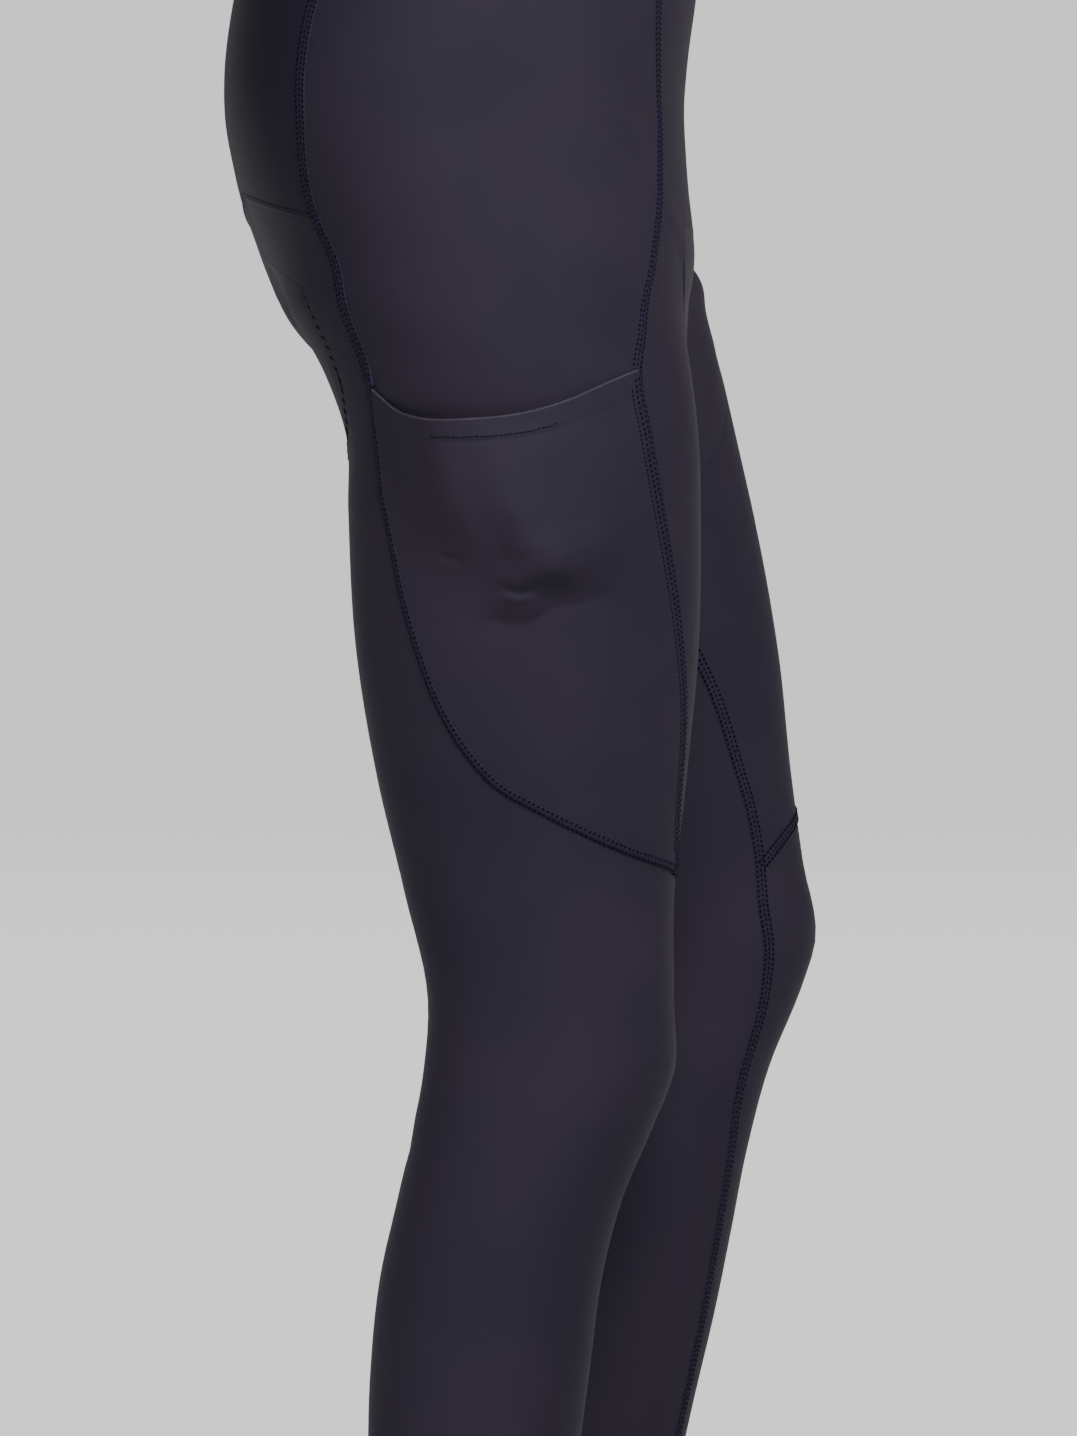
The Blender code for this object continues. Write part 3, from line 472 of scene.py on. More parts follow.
def lifted(side, height):
    """A height on the right half moved to the left half, whose knee is higher."""
    lift = LEFT_KNEE_LIFT * (1 - smooth_step(KNEE_HEIGHT, CROTCH_HEIGHT, height))
    return height + (lift if side > 0 else 0.0)


def seam_chain(side, table, low, high, rows):
    """Angle and height pairs along a seam, evenly spaced in height from low to high."""
    heights = np.linspace(low, high, rows + 1)
    angles = table_curves(table, SEAM_COLUMNS)["angle"](heights)
    return np.stack([angles, lifted(side, heights)], axis=-1)


def travelled(points):
    """For each point of a line, how far along the line it lies."""
    return np.concatenate([[0.0], np.cumsum(np.linalg.norm(np.diff(points, axis=0), axis=1))])


def even_line(side, line, rows):
    """Angle and height pairs along a line of the table kind, evenly spaced along the cloth."""
    places = np.array([(angle, lifted(side, height)) for angle, height in line])
    along = travelled(grid_points(side, places))
    dense = np.linspace(0, along[-1], LINE_SAMPLES)
    dense_places = np.stack([smooth_curve(along, places[:, k])(dense) for k in range(2)], axis=-1)
    length = travelled(grid_points(side, dense_places))
    wanted = np.linspace(0, length[-1], rows + 1)
    return np.stack([np.interp(wanted, length, dense_places[:, k]) for k in range(2)], axis=-1)


def joined(*chains):
    """Chains end to end, each shared end once."""
    return np.concatenate([chains[0], *(chain[1:] for chain in chains[1:])])


def straight_chain(start, end, rows):
    """Evenly spaced pairs between two places."""
    return np.linspace(start, end, rows + 1)


def seam_run(side, table, heights, rows):
    """A seam's chain from each height to the next, with a row count for each stretch."""
    stretches = zip(heights[:-1], heights[1:], rows)
    return joined(*[seam_chain(side, table, low, high, count) for low, high, count in stretches])


def middle_chain(side, low, high, rows, backward):
    """Angle and height pairs up the middle of the garment's front or back."""
    heights = np.linspace(low, high, rows + 1)
    return np.array([(angle_at(side, 0.0, height, backward), height) for height in heights])


def half_seams(side, fine):
    """Every seam line of one half, as chains of angle and height, with the CAD's row counts times fine."""
    inner = seam_chain(side, INNER_SEAM, KNEE_SEAM_INNER_HEIGHT, GUSSET_LOW_HEIGHT, ROWS_INNER * fine)
    gusset_front = even_line(side, GUSSET_FRONT_LINE, ROWS_GUSSET_FRONT * fine)
    gusset_back = even_line(side, GUSSET_BACK_LINE, ROWS_GUSSET_BACK * fine)
    centre = middle_chain(side, GUSSET_TOP_HEIGHT, WAIST_FRONT_HEIGHT, ROWS_CENTRE * fine, False)
    rows = ROWS_CENTRE_BACK * fine
    centre_back = middle_chain(side, GUSSET_BACK_HEIGHT, SEAT_SEAM_CENTRE_HEIGHT, rows, True)
    knee_end = (OUTER_FRONT_SEAM[0][1], lifted(side, KNEE_SEAM_OUTER_HEIGHT))
    knee = straight_chain(inner[0], knee_end, ROWS_KNEE * fine)
    knee[:, 1] += KNEE_BOW * np.sin(np.linspace(0, np.pi, ROWS_KNEE * fine + 1))
    front_heights = (
        KNEE_SEAM_OUTER_HEIGHT, POCKET_FRONT_CORNER_HEIGHT, FAN_FRONT_HEIGHT, SEAT_LEVEL_FRONT_HEIGHT,
        WAIST_HEIGHT,
    )
    back_heights = (POCKET_BACK_CORNER_HEIGHT, FAN_BACK_HEIGHT, SEAT_SEAM_HEIGHT)
    rows = [count * fine for count in (ROWS_POCKET, ROWS_BACK_LOWER, ROWS_BACK_UPPER, ROWS_SEAT)]
    return {
        "inner_low": seam_chain(side, INNER_SEAM, RIGHT_LEG[0][0], KNEE_SEAM_INNER_HEIGHT, ROWS_LOW * fine),
        "inner": inner,
        "gusset_front": gusset_front,
        "gusset_back": gusset_back,
        "gusset_front_end": straight_chain(gusset_front[-1], centre[0], ROWS_GUSSET_END * fine),
        "gusset_back_end": straight_chain(gusset_back[-1], centre_back[0], ROWS_GUSSET_END * fine),
        "centre_back": centre_back,
        "centre": centre,
        "knee": knee,
        "front": seam_run(side, OUTER_FRONT_SEAM, front_heights, rows),
        "pocket": even_line(side, POCKET_LINE, ROWS_POCKET * fine),
        "back": seam_run(side, BACK_SEAM, back_heights, rows[1:3]),
        "seat_edge": seam_chain(side, BACK_SEAM, SEAT_SEAM_HEIGHT, WAIST_HEIGHT, ROWS_SEAT * fine),
    }


def ruled(start, end, columns):
    """A grid of angle and height pairs between two chains of equal length."""
    share = np.linspace(0, 1, columns + 1)[None, :, None]
    return start[:, None, :] * (1 - share) + end[:, None, :] * share


def grid_points(side, grid):
    return surface(side, grid[..., 0], grid[..., 1])


def grid_normals(side, grid):
    """The cloth's outward normals on a grid of angle and height pairs."""
    angle, height = grid[..., 0], grid[..., 1]
    around = surface(side, angle + 0.5, height) - surface(side, angle - 0.5, height)
    upward = surface(side, angle, height + 0.001) - surface(side, angle, height - 0.001)
    return unit(np.cross(around, upward)) * side


def unit(vectors):
    return vectors / np.maximum(np.linalg.norm(vectors, axis=-1, keepdims=True), 1e-12)


def own_normals(points, outward):
    """Outward normals of a grid taken from its own rows and columns."""
    return unit(np.cross(np.gradient(points, axis=1), np.gradient(points, axis=0))) * outward


def inset(points, normals):
    """Draws a panel's edges in from the seam lines, square to each edge and along the cloth."""
    rows, columns = points.shape[:2]
    moved = points.copy()
    pulls = np.zeros(points.shape)
    counts = np.zeros(points.shape[:2])
    for axis, edge, inner in ((0, 0, 1), (0, rows - 1, rows - 2), (1, 0, 1), (1, columns - 1, columns - 2)):
        line = points[edge] if axis == 0 else points[:, edge]
        inside = points[inner] if axis == 0 else points[:, inner]
        normal = normals[edge] if axis == 0 else normals[:, edge]
        if np.linalg.norm(np.diff(line, axis=0), axis=1).sum() < 1e-4:
            continue
        across = unit(np.cross(normal, np.gradient(line, axis=0)))
        across *= np.sign(((inside - line) * across).sum())
        if axis == 0:
            pulls[edge] += across
            counts[edge] += 1
        else:
            pulls[:, edge] += across
            counts[:, edge] += 1
    for i, j in zip(*np.nonzero(counts)):
        pull = pulls[i, j]
        if counts[i, j] == 2:
            pull = pull * 2 / max(float(pull @ pull), 0.3)
        moved[i, j] += pull * SEAM_GAP / 2
    return moved


def closed_row(points, row):
    """A row whose points have drawn together becomes one point."""
    if np.linalg.norm(np.diff(points[row], axis=0), axis=1).sum() < 1e-3:
        points[row] = points[row].mean(axis=0)


def front_grid(seams, fine):
    inner_edge = joined(seams["inner"], seams["gusset_front"], seams["gusset_front_end"], seams["centre"])
    grid = ruled(inner_edge, seams["front"], COLUMNS_FRONT * fine)
    places = np.linspace(0, ROWS_KNEE * fine, COLUMNS_FRONT * fine + 1)
    bow = np.interp(places, np.arange(ROWS_KNEE * fine + 1), seams["knee"][:, 1]) - grid[0, :, 1]
    for k in range(BOW_ROWS * fine):
        grid[k, :, 1] += bow * (1 - k / (BOW_ROWS * fine))
    return grid


def side_grid(seams, fine):
    edge = joined(seams["pocket"], seams["back"], seams["seat_edge"])
    return ruled(seams["front"], edge, COLUMNS_SIDE * fine)


def leg_grid(seams, fine):
    start = joined(seams["inner_low"], seams["knee"], seams["pocket"], seams["back"])
    round_leg = joined(seams["inner_low"], seams["inner"]) + np.array([360.0, 0.0])
    end = joined(round_leg, seams["gusset_back"], seams["gusset_back_end"], seams["centre_back"])
    grid = ruled(start, end, COLUMNS_LEG * fine)
    for k in range(HEM_ROWS * fine):
        grid[k, :, 1] -= HEM_TILT * np.cos(np.radians(grid[k, :, 0])) * (1 - k / (HEM_ROWS * fine))
    return grid


def mirrored(grids):
    """Points, normals and places of a panel whose grids on both halves meet at the middle of the back."""
    made = []
    for work in (grid_points, grid_normals):
        halves = {side: work(side, grids[side]) for side in grids}
        made.append(np.concatenate([halves[-1], halves[1][:, -2::-1]], axis=1))
    right, left = cloth_places(-1, grids[-1]), cloth_places(1, grids[1])
    left[..., 0] = 2 * right[:, -1:, 0] - left[..., 0] + (left[:, -1:, 0] - right[:, -1:, 0])
    return made[0], made[1], np.concatenate([right, left[:, -2::-1]], axis=1)


def swelling(table, share, height):
    """How far the filled pocket's cloth stands off the panel under it."""
    lift = np.zeros_like(height)
    for row in table:
        swell = dict(zip(SWELL_COLUMNS, row))
        above = np.clip((height - swell["height"]) / swell["up"], 0, 1)
        below = np.clip((swell["height"] - height) / swell["down"], 0, 1)
        across = np.clip(np.abs(share - swell["share"]) / (2 * swell["half_share"]), 0, 1)
        along = (1 - smooth_step(0, 1, above)) * (1 - smooth_step(0, 1, below))
        lift += swell["lift"] * along * (1 - smooth_step(0, 1, across))
    return lift


def cloth_places(side, grid):
    """Where each point lies in the cloth, in metres round the leg and along it, for the knit's direction."""
    heights = np.linspace(grid[..., 1].min(), grid[..., 1].max(), 24)
    turn = np.linspace(0, 350, 36)
    reach = np.array([travelled(surface(side, turn, height)[:, :2])[-1] for height in heights])
    around = np.interp(grid[..., 1], heights, reach / np.radians(turn[-1]))
    return np.stack([np.radians(grid[..., 0]) * around, grid[..., 1]], axis=-1)


def edge_lengths(points):
    """For each point of a grid, the distance along its column from the last row."""
    steps = np.linalg.norm(np.diff(points, axis=0), axis=2)
    return np.concatenate([np.cumsum(steps[::-1], axis=0)[::-1], np.zeros((1, points.shape[1]))])


def bump(distance, half_width):
    """1 on a line and 0 a few half widths away, rounded like a soft fold."""
    return np.exp(-((distance / half_width) ** 2))


def line_distance(points, line):
    """Each point's distance from a line of points, and the share of the line where it is nearest."""
    best = np.full(points.shape[:-1], 1e9)
    share = np.zeros(points.shape[:-1])
    for k in range(len(line) - 1):
        step = line[k + 1] - line[k]
        t = np.clip(((points - line[k]) @ step) / (step @ step), 0, 1)
        distance = np.linalg.norm(points - line[k] - t[..., None] * step, axis=-1)
        nearer = distance < best
        best = np.where(nearer, distance, best)
        share = np.where(nearer, (k + t) / (len(line) - 1), share)
    return best, share


def crease_relief(side, points):
    """The soft creases of one half's cloth, as a distance along the normal."""
    relief = np.zeros(points.shape[:-1])
    for row in CREASES:
        crease = dict(zip(CREASE_COLUMNS, row))
        if crease["side"] not in (side, 0):
            continue
        places = [(angle, lifted(side, height)) for angle, height in crease["line"]]
        line = np.array([surface(side, angle, height) for angle, height in places])
        distance, share = line_distance(points, line)
        ends = smooth_step(0.0, 0.3, share) * smooth_step(0.0, 0.3, 1 - share)
        relief += crease["lift"] * ends * bump(distance, crease["half_width"])
    return relief


def pocket_relief(points):
    """The forms of what the filled pocket shows: ridges, a rounded end with its fold, and slack hollows."""
    flat = points[..., 1:]
    relief = np.zeros(points.shape[:-1])
    for row in POCKET_FOLDS:
        fold = dict(zip(FOLD_COLUMNS, row))
        distance, share = line_distance(flat, np.array(fold["line"]))
        ends = smooth_step(0.0, 0.35, share) * smooth_step(0.0, 0.35, 1 - share)
        if fold["round_ends"]:
            ends = 1.0
        relief += fold["lift"] * ends * bump(distance, fold["half_width"])
    return relief


def gusset_shape(seams, fine):
    """The saddle gusset: a part on either leg, and between them an arch bowed through the crotch line."""
    grids = {}
    for side in (-1, 1):
        half = seams[side]
        edge = joined(half["gusset_front"][::-1] + np.array([360.0, 0.0]), half["gusset_back"])
        middle = ROWS_GUSSET_END * fine // 2
        arch_front = even_line(side, ARCH_FRONT_LINE, ROWS_GUSSET_FRONT * fine)
        arch_back = even_line(side, ARCH_BACK_LINE, ROWS_GUSSET_BACK * fine)
        front_gap = half["gusset_front_end"][middle] + np.array([360.0, 0.0]) - arch_front[0]
        back_gap = half["gusset_back_end"][middle] - arch_back[-1]
        for k in range(3 * fine):
            share = 1 - smooth_step(0.0, 1.0, k / (3 * fine))
            arch_front[k] += front_gap * share
            arch_back[-1 - k] += back_gap * share
        grids[side] = ruled(edge, joined(arch_front, arch_back), ROWS_GUSSET_END * fine // 2)
    crotch = table_curves(CROTCH_LINE, CROTCH_COLUMNS)
    stations = np.linspace(0, 1, (ROWS_GUSSET_FRONT + ROWS_GUSSET_BACK) * fine + 1)
    middle = np.stack([np.zeros_like(stations), crotch["y"](stations), crotch["height"](stations)], axis=-1)
    right, left = (grid_points(side, grids[side]) for side in (-1, 1))
    share = np.linspace(0, 1, ROWS_GUSSET_END * fine + 1)[None, :, None]
    start, end, middle = right[:, -1:], left[:, -1:], middle[:, None]
    arch = start * (1 - share) * (1 - 2 * share) + middle * 4 * share * (1 - share)
    arch = arch + end * share * (2 * share - 1)
    half = ROWS_GUSSET_END * fine // 2
    ease = 2 * fine
    for row, step, seam in ((0, 1, "gusset_front_end"), (len(arch) - 1, -1, "gusset_back_end")):
        chains = {side: seams[side][seam][half:] for side in (-1, 1)}
        wanted = np.concatenate([grid_points(-1, chains[-1]), grid_points(1, chains[1])[-2::-1]])
        gap = wanted - arch[row]
        for k in range(ease):
            arch[row + k * step] += gap * (1 - smooth_step(0.0, 1.0, k / ease))
    points = np.concatenate([right, arch[:, 1:-1], left[:, ::-1]], axis=1)
    return points, own_normals(points, -1)


def linked(name, data):
    """An object of the scene with its mesh, light or lens."""
    made = bpy.data.objects.new(name, data)
    bpy.context.scene.collection.objects.link(made)
    return made


def finished(made):
    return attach(made, "root")


def sewn_piece(name, parts, materials):
    """One piece of closed smooth forms, from parts of vertices, faces and a material number each."""
    vertices, faces, numbers = [], [], []
    count = 0
    for points, polygons, number in parts:
        vertices.append(points)
        faces += [tuple(int(v) + count for v in polygon) for polygon in polygons]
        numbers += [number] * len(polygons)
        count += len(points)
    mesh = bpy.data.meshes.new(name)
    mesh.from_pydata(np.concatenate(vertices).tolist(), [], faces)
    mesh.polygons.foreach_set("material_index", numbers)
    for each in materials:
        mesh.materials.append(MATERIALS[each])
    mesh.shade_smooth()
    form = bmesh.new()
    form.from_mesh(mesh)
    bmesh.ops.recalc_face_normals(form, faces=form.faces)
    form.to_mesh(mesh)
    form.free()
    return finished(linked(name, mesh))


def shell(name, points, normals, places, outward, cloth):
    """A cloth shell: outer and inner layer, closed by a rim with sharp edges."""
    points = points - ORIGIN_LIFT
    inner = points - normals * CLOTH
    for row in (0, -1):
        closed_row(points, row)
        closed_row(inner, row)
    rows, columns = points.shape[:2]
    index = np.arange(rows * columns).reshape(rows, columns)
    quads = np.stack([index[:-1, :-1], index[:-1, 1:], index[1:, 1:], index[1:, :-1]], axis=-1).reshape(-1, 4)
    ring = np.concatenate([index[0], index[1:, -1], index[-1, -2::-1], index[-2:0:-1, 0]])
    after = np.roll(ring, -1)
    count = rows * columns
    rim = np.stack([after, ring, ring + count, after + count], axis=-1)
    faces = np.concatenate([quads, quads[:, ::-1] + count, rim])
    if outward < 0:
        faces = faces[:, ::-1]
    mesh = bpy.data.meshes.new(name)
    vertices = np.concatenate([points.reshape(-1, 3), inner.reshape(-1, 3)])
    mesh.from_pydata(vertices.tolist(), [], faces.tolist())
    uv = mesh.uv_layers.new(name="cloth")
    corner = np.zeros(len(mesh.loops), np.int32)
    mesh.loops.foreach_get("vertex_index", corner)
    flat = places.reshape(-1, 2)
    uv.data.foreach_set("uv", flat[corner % count].astype(np.float32).ravel())
    form = bmesh.new()
    form.from_mesh(mesh)
    form.faces.ensure_lookup_table()
    for face in form.faces[2 * len(quads):]:
        for edge in face.edges:
            if edge.calc_face_angle(0.0) > 0.6:
                edge.smooth = False
    for face in form.faces:
        face.smooth = True
    bmesh.ops.remove_doubles(form, verts=form.verts, dist=2e-6)
    form.to_mesh(mesh)
    form.free()
    mesh.materials.append(cloth)
    return linked(name, mesh)


def even_chain(side, chain):
    """A seam's places resampled evenly along the cloth, with its points and normals."""
    along = travelled(grid_points(side, chain))
    keep = np.concatenate([[True], np.diff(along) > 1e-7])
    wanted = np.linspace(0, along[-1], max(int(round(along[-1] / CHAIN_SPACING)), 2) + 1)
    places = np.stack([np.interp(wanted, along[keep], chain[keep, k]) for k in range(2)], axis=-1)
    points, normals = half_points(side, places)
    return places, points - ORIGIN_LIFT, normals, wanted


def seam_axes(points, normals):
    """Directions along and across a seam, square to the cloth."""
    along = unit(np.gradient(points, axis=0))
    across = unit(np.cross(normals, along))
    return along, across


def tube(rings):
    """Vertices and faces of a closed tube through rings of points."""
    count, sides = rings.shape[:2]
    index = np.arange(count * sides).reshape(count, sides)
    nearby = np.roll(index, -1, axis=1)
    quads = np.stack([index[:-1], nearby[:-1], nearby[1:], index[1:]], axis=-1).reshape(-1, 4)
    faces = [tuple(face) for face in quads.tolist()]
    faces += [tuple(index[0].tolist()[::-1]), tuple(index[-1].tolist())]
    return rings.reshape(-1, 3), faces


def band_profile(width, height):
    """Places across a sewn band and its height there."""
    share = np.array([-1.0, -0.93, -0.80, -0.45, 0.0, 0.45, 0.80, 0.93, 1.0])
    rise = np.array([-0.6, 0.35, 0.85, 1.0, 0.94, 1.0, 0.85, 0.35, -0.6])
    return share * width / 2, rise * height


def step_share(across, width, toward):
    """How far up the step of a layer on one side of the seam a place across it is."""
    return smooth_step(-width / 2, 0.0, across * toward)


def band(points, normals, step, toward, width, height):
    """The flat band of a seam, stepped up on the side that has a second layer."""
    _, across = seam_axes(points, normals)
    places, rise = band_profile(width, height)
    up = rise[None, :] + step[:, None] * step_share(places, width, toward)[None, :]
    top = points[:, None] + across[:, None] * places[None, :, None] + normals[:, None] * up[..., None]
    edges = places[[-1, 0]][None, :, None]
    bottom = points[:, None] + across[:, None] * edges - normals[:, None] * BAND_SINK
    return tube(np.concatenate([top, bottom], axis=1))


def beads(centres, along, across, up, sizes):
    """Small thread forms: pointed bars of four sides, all in one array."""
    length, width, height = sizes
    corners = ((0.5, 0.0), (0.0, 1.0), (-0.5, 0.0), (0.0, -1.0))
    points = [centres - along * (0.5 * length)]
    for place in (-0.26, 0.26):
        middle = centres + along * (place * length)
        points += [middle + across * (side * width) + up * (rise * height) for side, rise in corners]
    points = np.stack([*points, centres + along * (0.5 * length)], axis=1)
    pattern = []
    for k in range(4):
        m = (k + 1) % 4
        pattern += [(0, 1 + m, 1 + k), (1 + k, 1 + m, 5 + m), (1 + k, 5 + m, 5 + k), (9, 5 + k, 5 + m)]
    faces = (np.arange(len(centres))[:, None, None] * 10 + np.array(pattern)[None]).reshape(-1, 3)
    return points.reshape(-1, 3), faces.tolist()


def stitch_parts(points, normals, wanted, rows, pitch, lift, step=0.0, toward=1, width=BAND_WIDTH):
    """Rows of stitches along a seam, each row with its own place across, slant and size."""
    along, across = seam_axes(points, normals)
    steps = step + np.zeros(len(points))
    parts = []
    for number, row in enumerate(rows):
        stitch = dict(zip(ROW_COLUMNS, row))
        places = np.arange(pitch * (0.5 + 0.25 * (number % 2)), wanted[-1], pitch)
        centre, forward, sideways, up = (
            np.stack([np.interp(places, wanted, each[:, k]) for k in range(3)], axis=-1)
            for each in (points, along, across, normals)
        )
        forward, sideways, up = unit(forward), unit(sideways), unit(up)
        rise = np.interp(places, wanted, steps) * step_share(stitch["across"], width, toward) + lift
        slant = np.radians(stitch["angle"])
        direction = forward * np.cos(slant) + sideways * np.sin(slant)
        square = sideways * np.cos(slant) - forward * np.sin(slant)
        centre = centre + sideways * stitch["across"] + up * rise[:, None]
        sizes = (stitch["length"], stitch["width"], stitch["height"])
        parts.append(beads(centre, direction, square, up, sizes))
    return parts


def pocket_step(side, places):
    """The step up to the pocket's layer along its two seams, fading out above its corners."""
    corner = lifted(side, (POCKET_FRONT_CORNER_HEIGHT + POCKET_BACK_CORNER_HEIGHT) / 2)
    return (CLOTH + POCKET_BASE_LIFT) * (1 - smooth_step(corner - 0.003, corner + 0.006, places[:, 1]))


def sewn_seam(name, side, chain, rows=FLATLOCK_ROWS, pitch=STITCH_PITCH, toward=0, width=BAND_WIDTH,
              height=BAND_HEIGHT, cloth="band"):
    """A seam's band and stitches, stepped up to the pocket's layer on the side that toward gives."""
    places, points, normals, wanted = even_chain(side, chain)
    steps = pocket_step(side, places) * abs(toward)
    stitches = stitch_parts(points, normals, wanted, rows, pitch, height * 0.9, steps, toward, width)
    parts = [(*band(points, normals, steps, toward, width, height), 0)]
    return sewn_piece(name, parts + [(*part, 1) for part in stitches], (cloth, "thread"))


def rolled_edge(name, points, normals, radius, cloth="knit"):
    """The rounded fold along an open edge, round the shell's rim."""
    moving = np.concatenate([[True], np.linalg.norm(np.diff(points, axis=0), axis=1) > 1e-5])
    points, normals = points[moving] - ORIGIN_LIFT, normals[moving]
    _, across = seam_axes(points, normals)
    centre = points - normals * CLOTH / 2
    turn = np.linspace(0, 2 * np.pi, EDGE_SIDES, endpoint=False)[None, :, None]
    rings = centre[:, None] + radius * (across[:, None] * np.cos(turn) + normals[:, None] * np.sin(turn))
    return sewn_piece(name, [(*tube(rings), 0)], (cloth,))


def sewn_row(name, points, normals, rows, pitch, slot="navy_knit"):
    """Rows of stitches alone, on the face of a folded hem."""
    points = points - ORIGIN_LIFT
    stitches = stitch_parts(points, normals, travelled(points), rows, pitch, 0.0001)
    return sewn_piece(name, [(*part, 0) for part in stitches], ("thread",))


def feed(tree, made, inputs):
    """Sets a node's inputs, each to a value or to another node's output; a colour gets its alpha."""
    for name, value in inputs.items():
        if isinstance(value, bpy.types.NodeSocket):
            tree.links.new(value, made.inputs[name])
        else:
            made.inputs[name].default_value = (*value, 1.0) if isinstance(value, tuple) else value


def node(tree, kind, inputs, **settings):
    """A new shader node with its settings and inputs."""
    made = tree.nodes.new("ShaderNode" + kind)
    for name, value in settings.items():
        setattr(made, name, value)
    feed(tree, made, inputs)
    return made


def maths(tree, operation, first, second):
    return node(tree, "Math", {0: first, 1: second}, operation=operation).outputs[0]


def colour_mix(tree, share, first, second, blend="MIX"):
    """The colour between two colours, each fixed or another node's."""
    return node(tree, "Mix", {0: share, 6: first, 7: second}, data_type="RGBA", blend_type=blend).outputs[2]


def bumped(tree, height, strength, depth):
    """The normal that a fine relief gives a surface."""
    return node(tree, "Bump", {"Strength": strength, "Distance": depth, "Height": height}).outputs["Normal"]


def new_material(name):
    """A material with its node tree and its shader."""
    made = bpy.data.materials.new(name)
    made.use_nodes = True
    return made, made.node_tree, made.node_tree.nodes["Principled BSDF"]


def knit_material(name, dark, light, rib, depth, sheen, roughness, specks):
    """A matte knit: two near colours that drift into each other, fine ribs along the cloth, a soft sheen."""
    made, tree, shader = new_material(name)
    place = node(tree, "TexCoord", {}).outputs["Object"]
    drift = node(tree, "TexNoise", {"Scale": 9.0, "Detail": 3.0, "Vector": place}).outputs["Fac"]
    spread = node(tree, "MapRange", {"From Min": 0.35, "From Max": 0.65, "Value": drift}).outputs["Result"]
    flat = node(tree, "UVMap", {}, uv_map="cloth").outputs["UV"]
    ribs = []
    for axis, size in (("X", rib), ("Y", rib * 0.8)):
        wave = node(tree, "TexWave", {"Scale": WAVE_SCALE / size, "Vector": flat}, bands_direction=axis)
        ribs.append(wave.outputs["Fac"])
    relief = maths(tree, "MULTIPLY", *ribs)
    grain = node(tree, "TexNoise", {"Scale": 700.0, "Vector": place}).outputs["Fac"]
    colour = colour_mix(tree, spread, dark, light)
    # The ribs' low places are darkened in the colour too: painted shade in the hollows between ribs
    colour = colour_mix(tree, 0.35, colour, relief, "MULTIPLY")
    if specks:
        cells = node(tree, "TexVoronoi", {"Scale": 34.0, "Vector": place}).outputs
        rare = node(tree, "SeparateColor", {"Color": cells["Color"]}).outputs[0]
        chosen = maths(tree, "LESS_THAN", rare, 0.10)
        close = maths(tree, "LESS_THAN", cells["Distance"], 0.016)
        colour = colour_mix(tree, maths(tree, "MULTIPLY", chosen, close), colour, LINT_COLOUR)
    feed(tree, shader, {
        "Base Color": colour, "Roughness": roughness, "Specular IOR Level": 0.05, "Sheen Weight": sheen,
        "Sheen Roughness": 0.42, "Sheen Tint": SHEEN_TINT,
        "Normal": bumped(tree, maths(tree, "ADD", relief, grain), 0.35, depth),
    })
    return made


def thread_material(name, colour, roughness, gloss, twist):
    """Sewing thread: a slight gloss, with its twist and small changes of tone."""
    made, tree, shader = new_material(name)
    place = node(tree, "TexCoord", {}).outputs["Object"]
    tone = node(tree, "TexNoise", {"Scale": 420.0, "Vector": place}).outputs["Fac"]
    dark, light = (tuple(share * c for c in colour) for share in (0.6, 1.5))
    wave = node(tree, "TexWave", {"Scale": twist, "Vector": place}, bands_direction="DIAGONAL")
    feed(tree, shader, {
        "Base Color": colour_mix(tree, tone, dark, light), "Roughness": roughness,
        "Specular IOR Level": gloss, "Sheen Weight": 0.0,
        "Normal": bumped(tree, wave.outputs["Fac"], 0.5, 0.0001),
    })
    return made


# Knits: name, dark and light tone, rib and relief in metres, sheen, roughness, whether lint shows on it
KNITS = {
    "knit": ("navy_knit_cloth", (0.0200, 0.0163, 0.0290), (0.0258, 0.0200, 0.0335),
             0.00042, 0.00012, 0.02, 0.62, True),
    # The seat's knit is darker than the navy knit: painted shade over the seat panel at the hip's back
    "seat": ("seat_knit_painted_shade", (0.0148, 0.0120, 0.0240), (0.0192, 0.0148, 0.0280),
             0.00042, 0.00012, 0.01, 0.62, False),
    "gusset": ("saddle_knit_cloth", (0.0202, 0.0170, 0.0285), (0.0260, 0.0207, 0.0330),
               0.00055, 0.00016, 0.03, 0.66, False),
    "net": ("bib_net_cloth", (0.0120, 0.0110, 0.0180), (0.0190, 0.0170, 0.0265),
            0.00140, 0.00060, 0.05, 0.70, False),
}
# Threads: name, tone, roughness, gloss, twists
THREADS = {
    "band": ("sewn_band", (0.0125, 0.0106, 0.0225), 0.65, 0.06, 300.0),
    "thread": ("navy_thread", (0.0022, 0.0019, 0.0060), 0.50, 0.04, 900.0),
    # The edge tone is lighter than the knit: a painted highlight along the pocket mouth's rolled edge
    "edge": ("folded_edge_painted_highlight", (0.0330, 0.0270, 0.0400), 0.60, 0.06, 300.0),
}
MATERIALS = {key: knit_material(*row) for key, row in KNITS.items()}
MATERIALS.update({key: thread_material(*row) for key, row in THREADS.items()})


def cloth_piece(name, points, normals, places, outward, cloth="knit", slot="navy_knit"):
    """A shell that stands for its CAD node, with its edges drawn in from the seam lines."""
    made = shell(f"{name}_cloth", inset(points, normals), normals, places, outward, MATERIALS[cloth])
    finished(made)
    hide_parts(name)
    return made


def half_points(side, grid):
    """The creased cloth's points on a grid or chain of one half, with its normals."""
    points, normals = grid_points(side, grid), grid_normals(side, grid)
    return points + normals * crease_relief(side, points)[..., None], normals


def build_upper(side, word, panel, lay_out):
    """A front or side panel with its folded waist edge."""
    grid = lay_out(half_seams(side, FINE[panel]), FINE[panel])
    points, normals = half_points(side, grid)
    made = cloth_piece(f"{panel}_{word}", points, normals, cloth_places(side, grid), side)
    return made, [rolled_edge(f"waist_edge_{panel}_{word}", points[-1], normals[-1], WAIST_EDGE_RADIUS)]


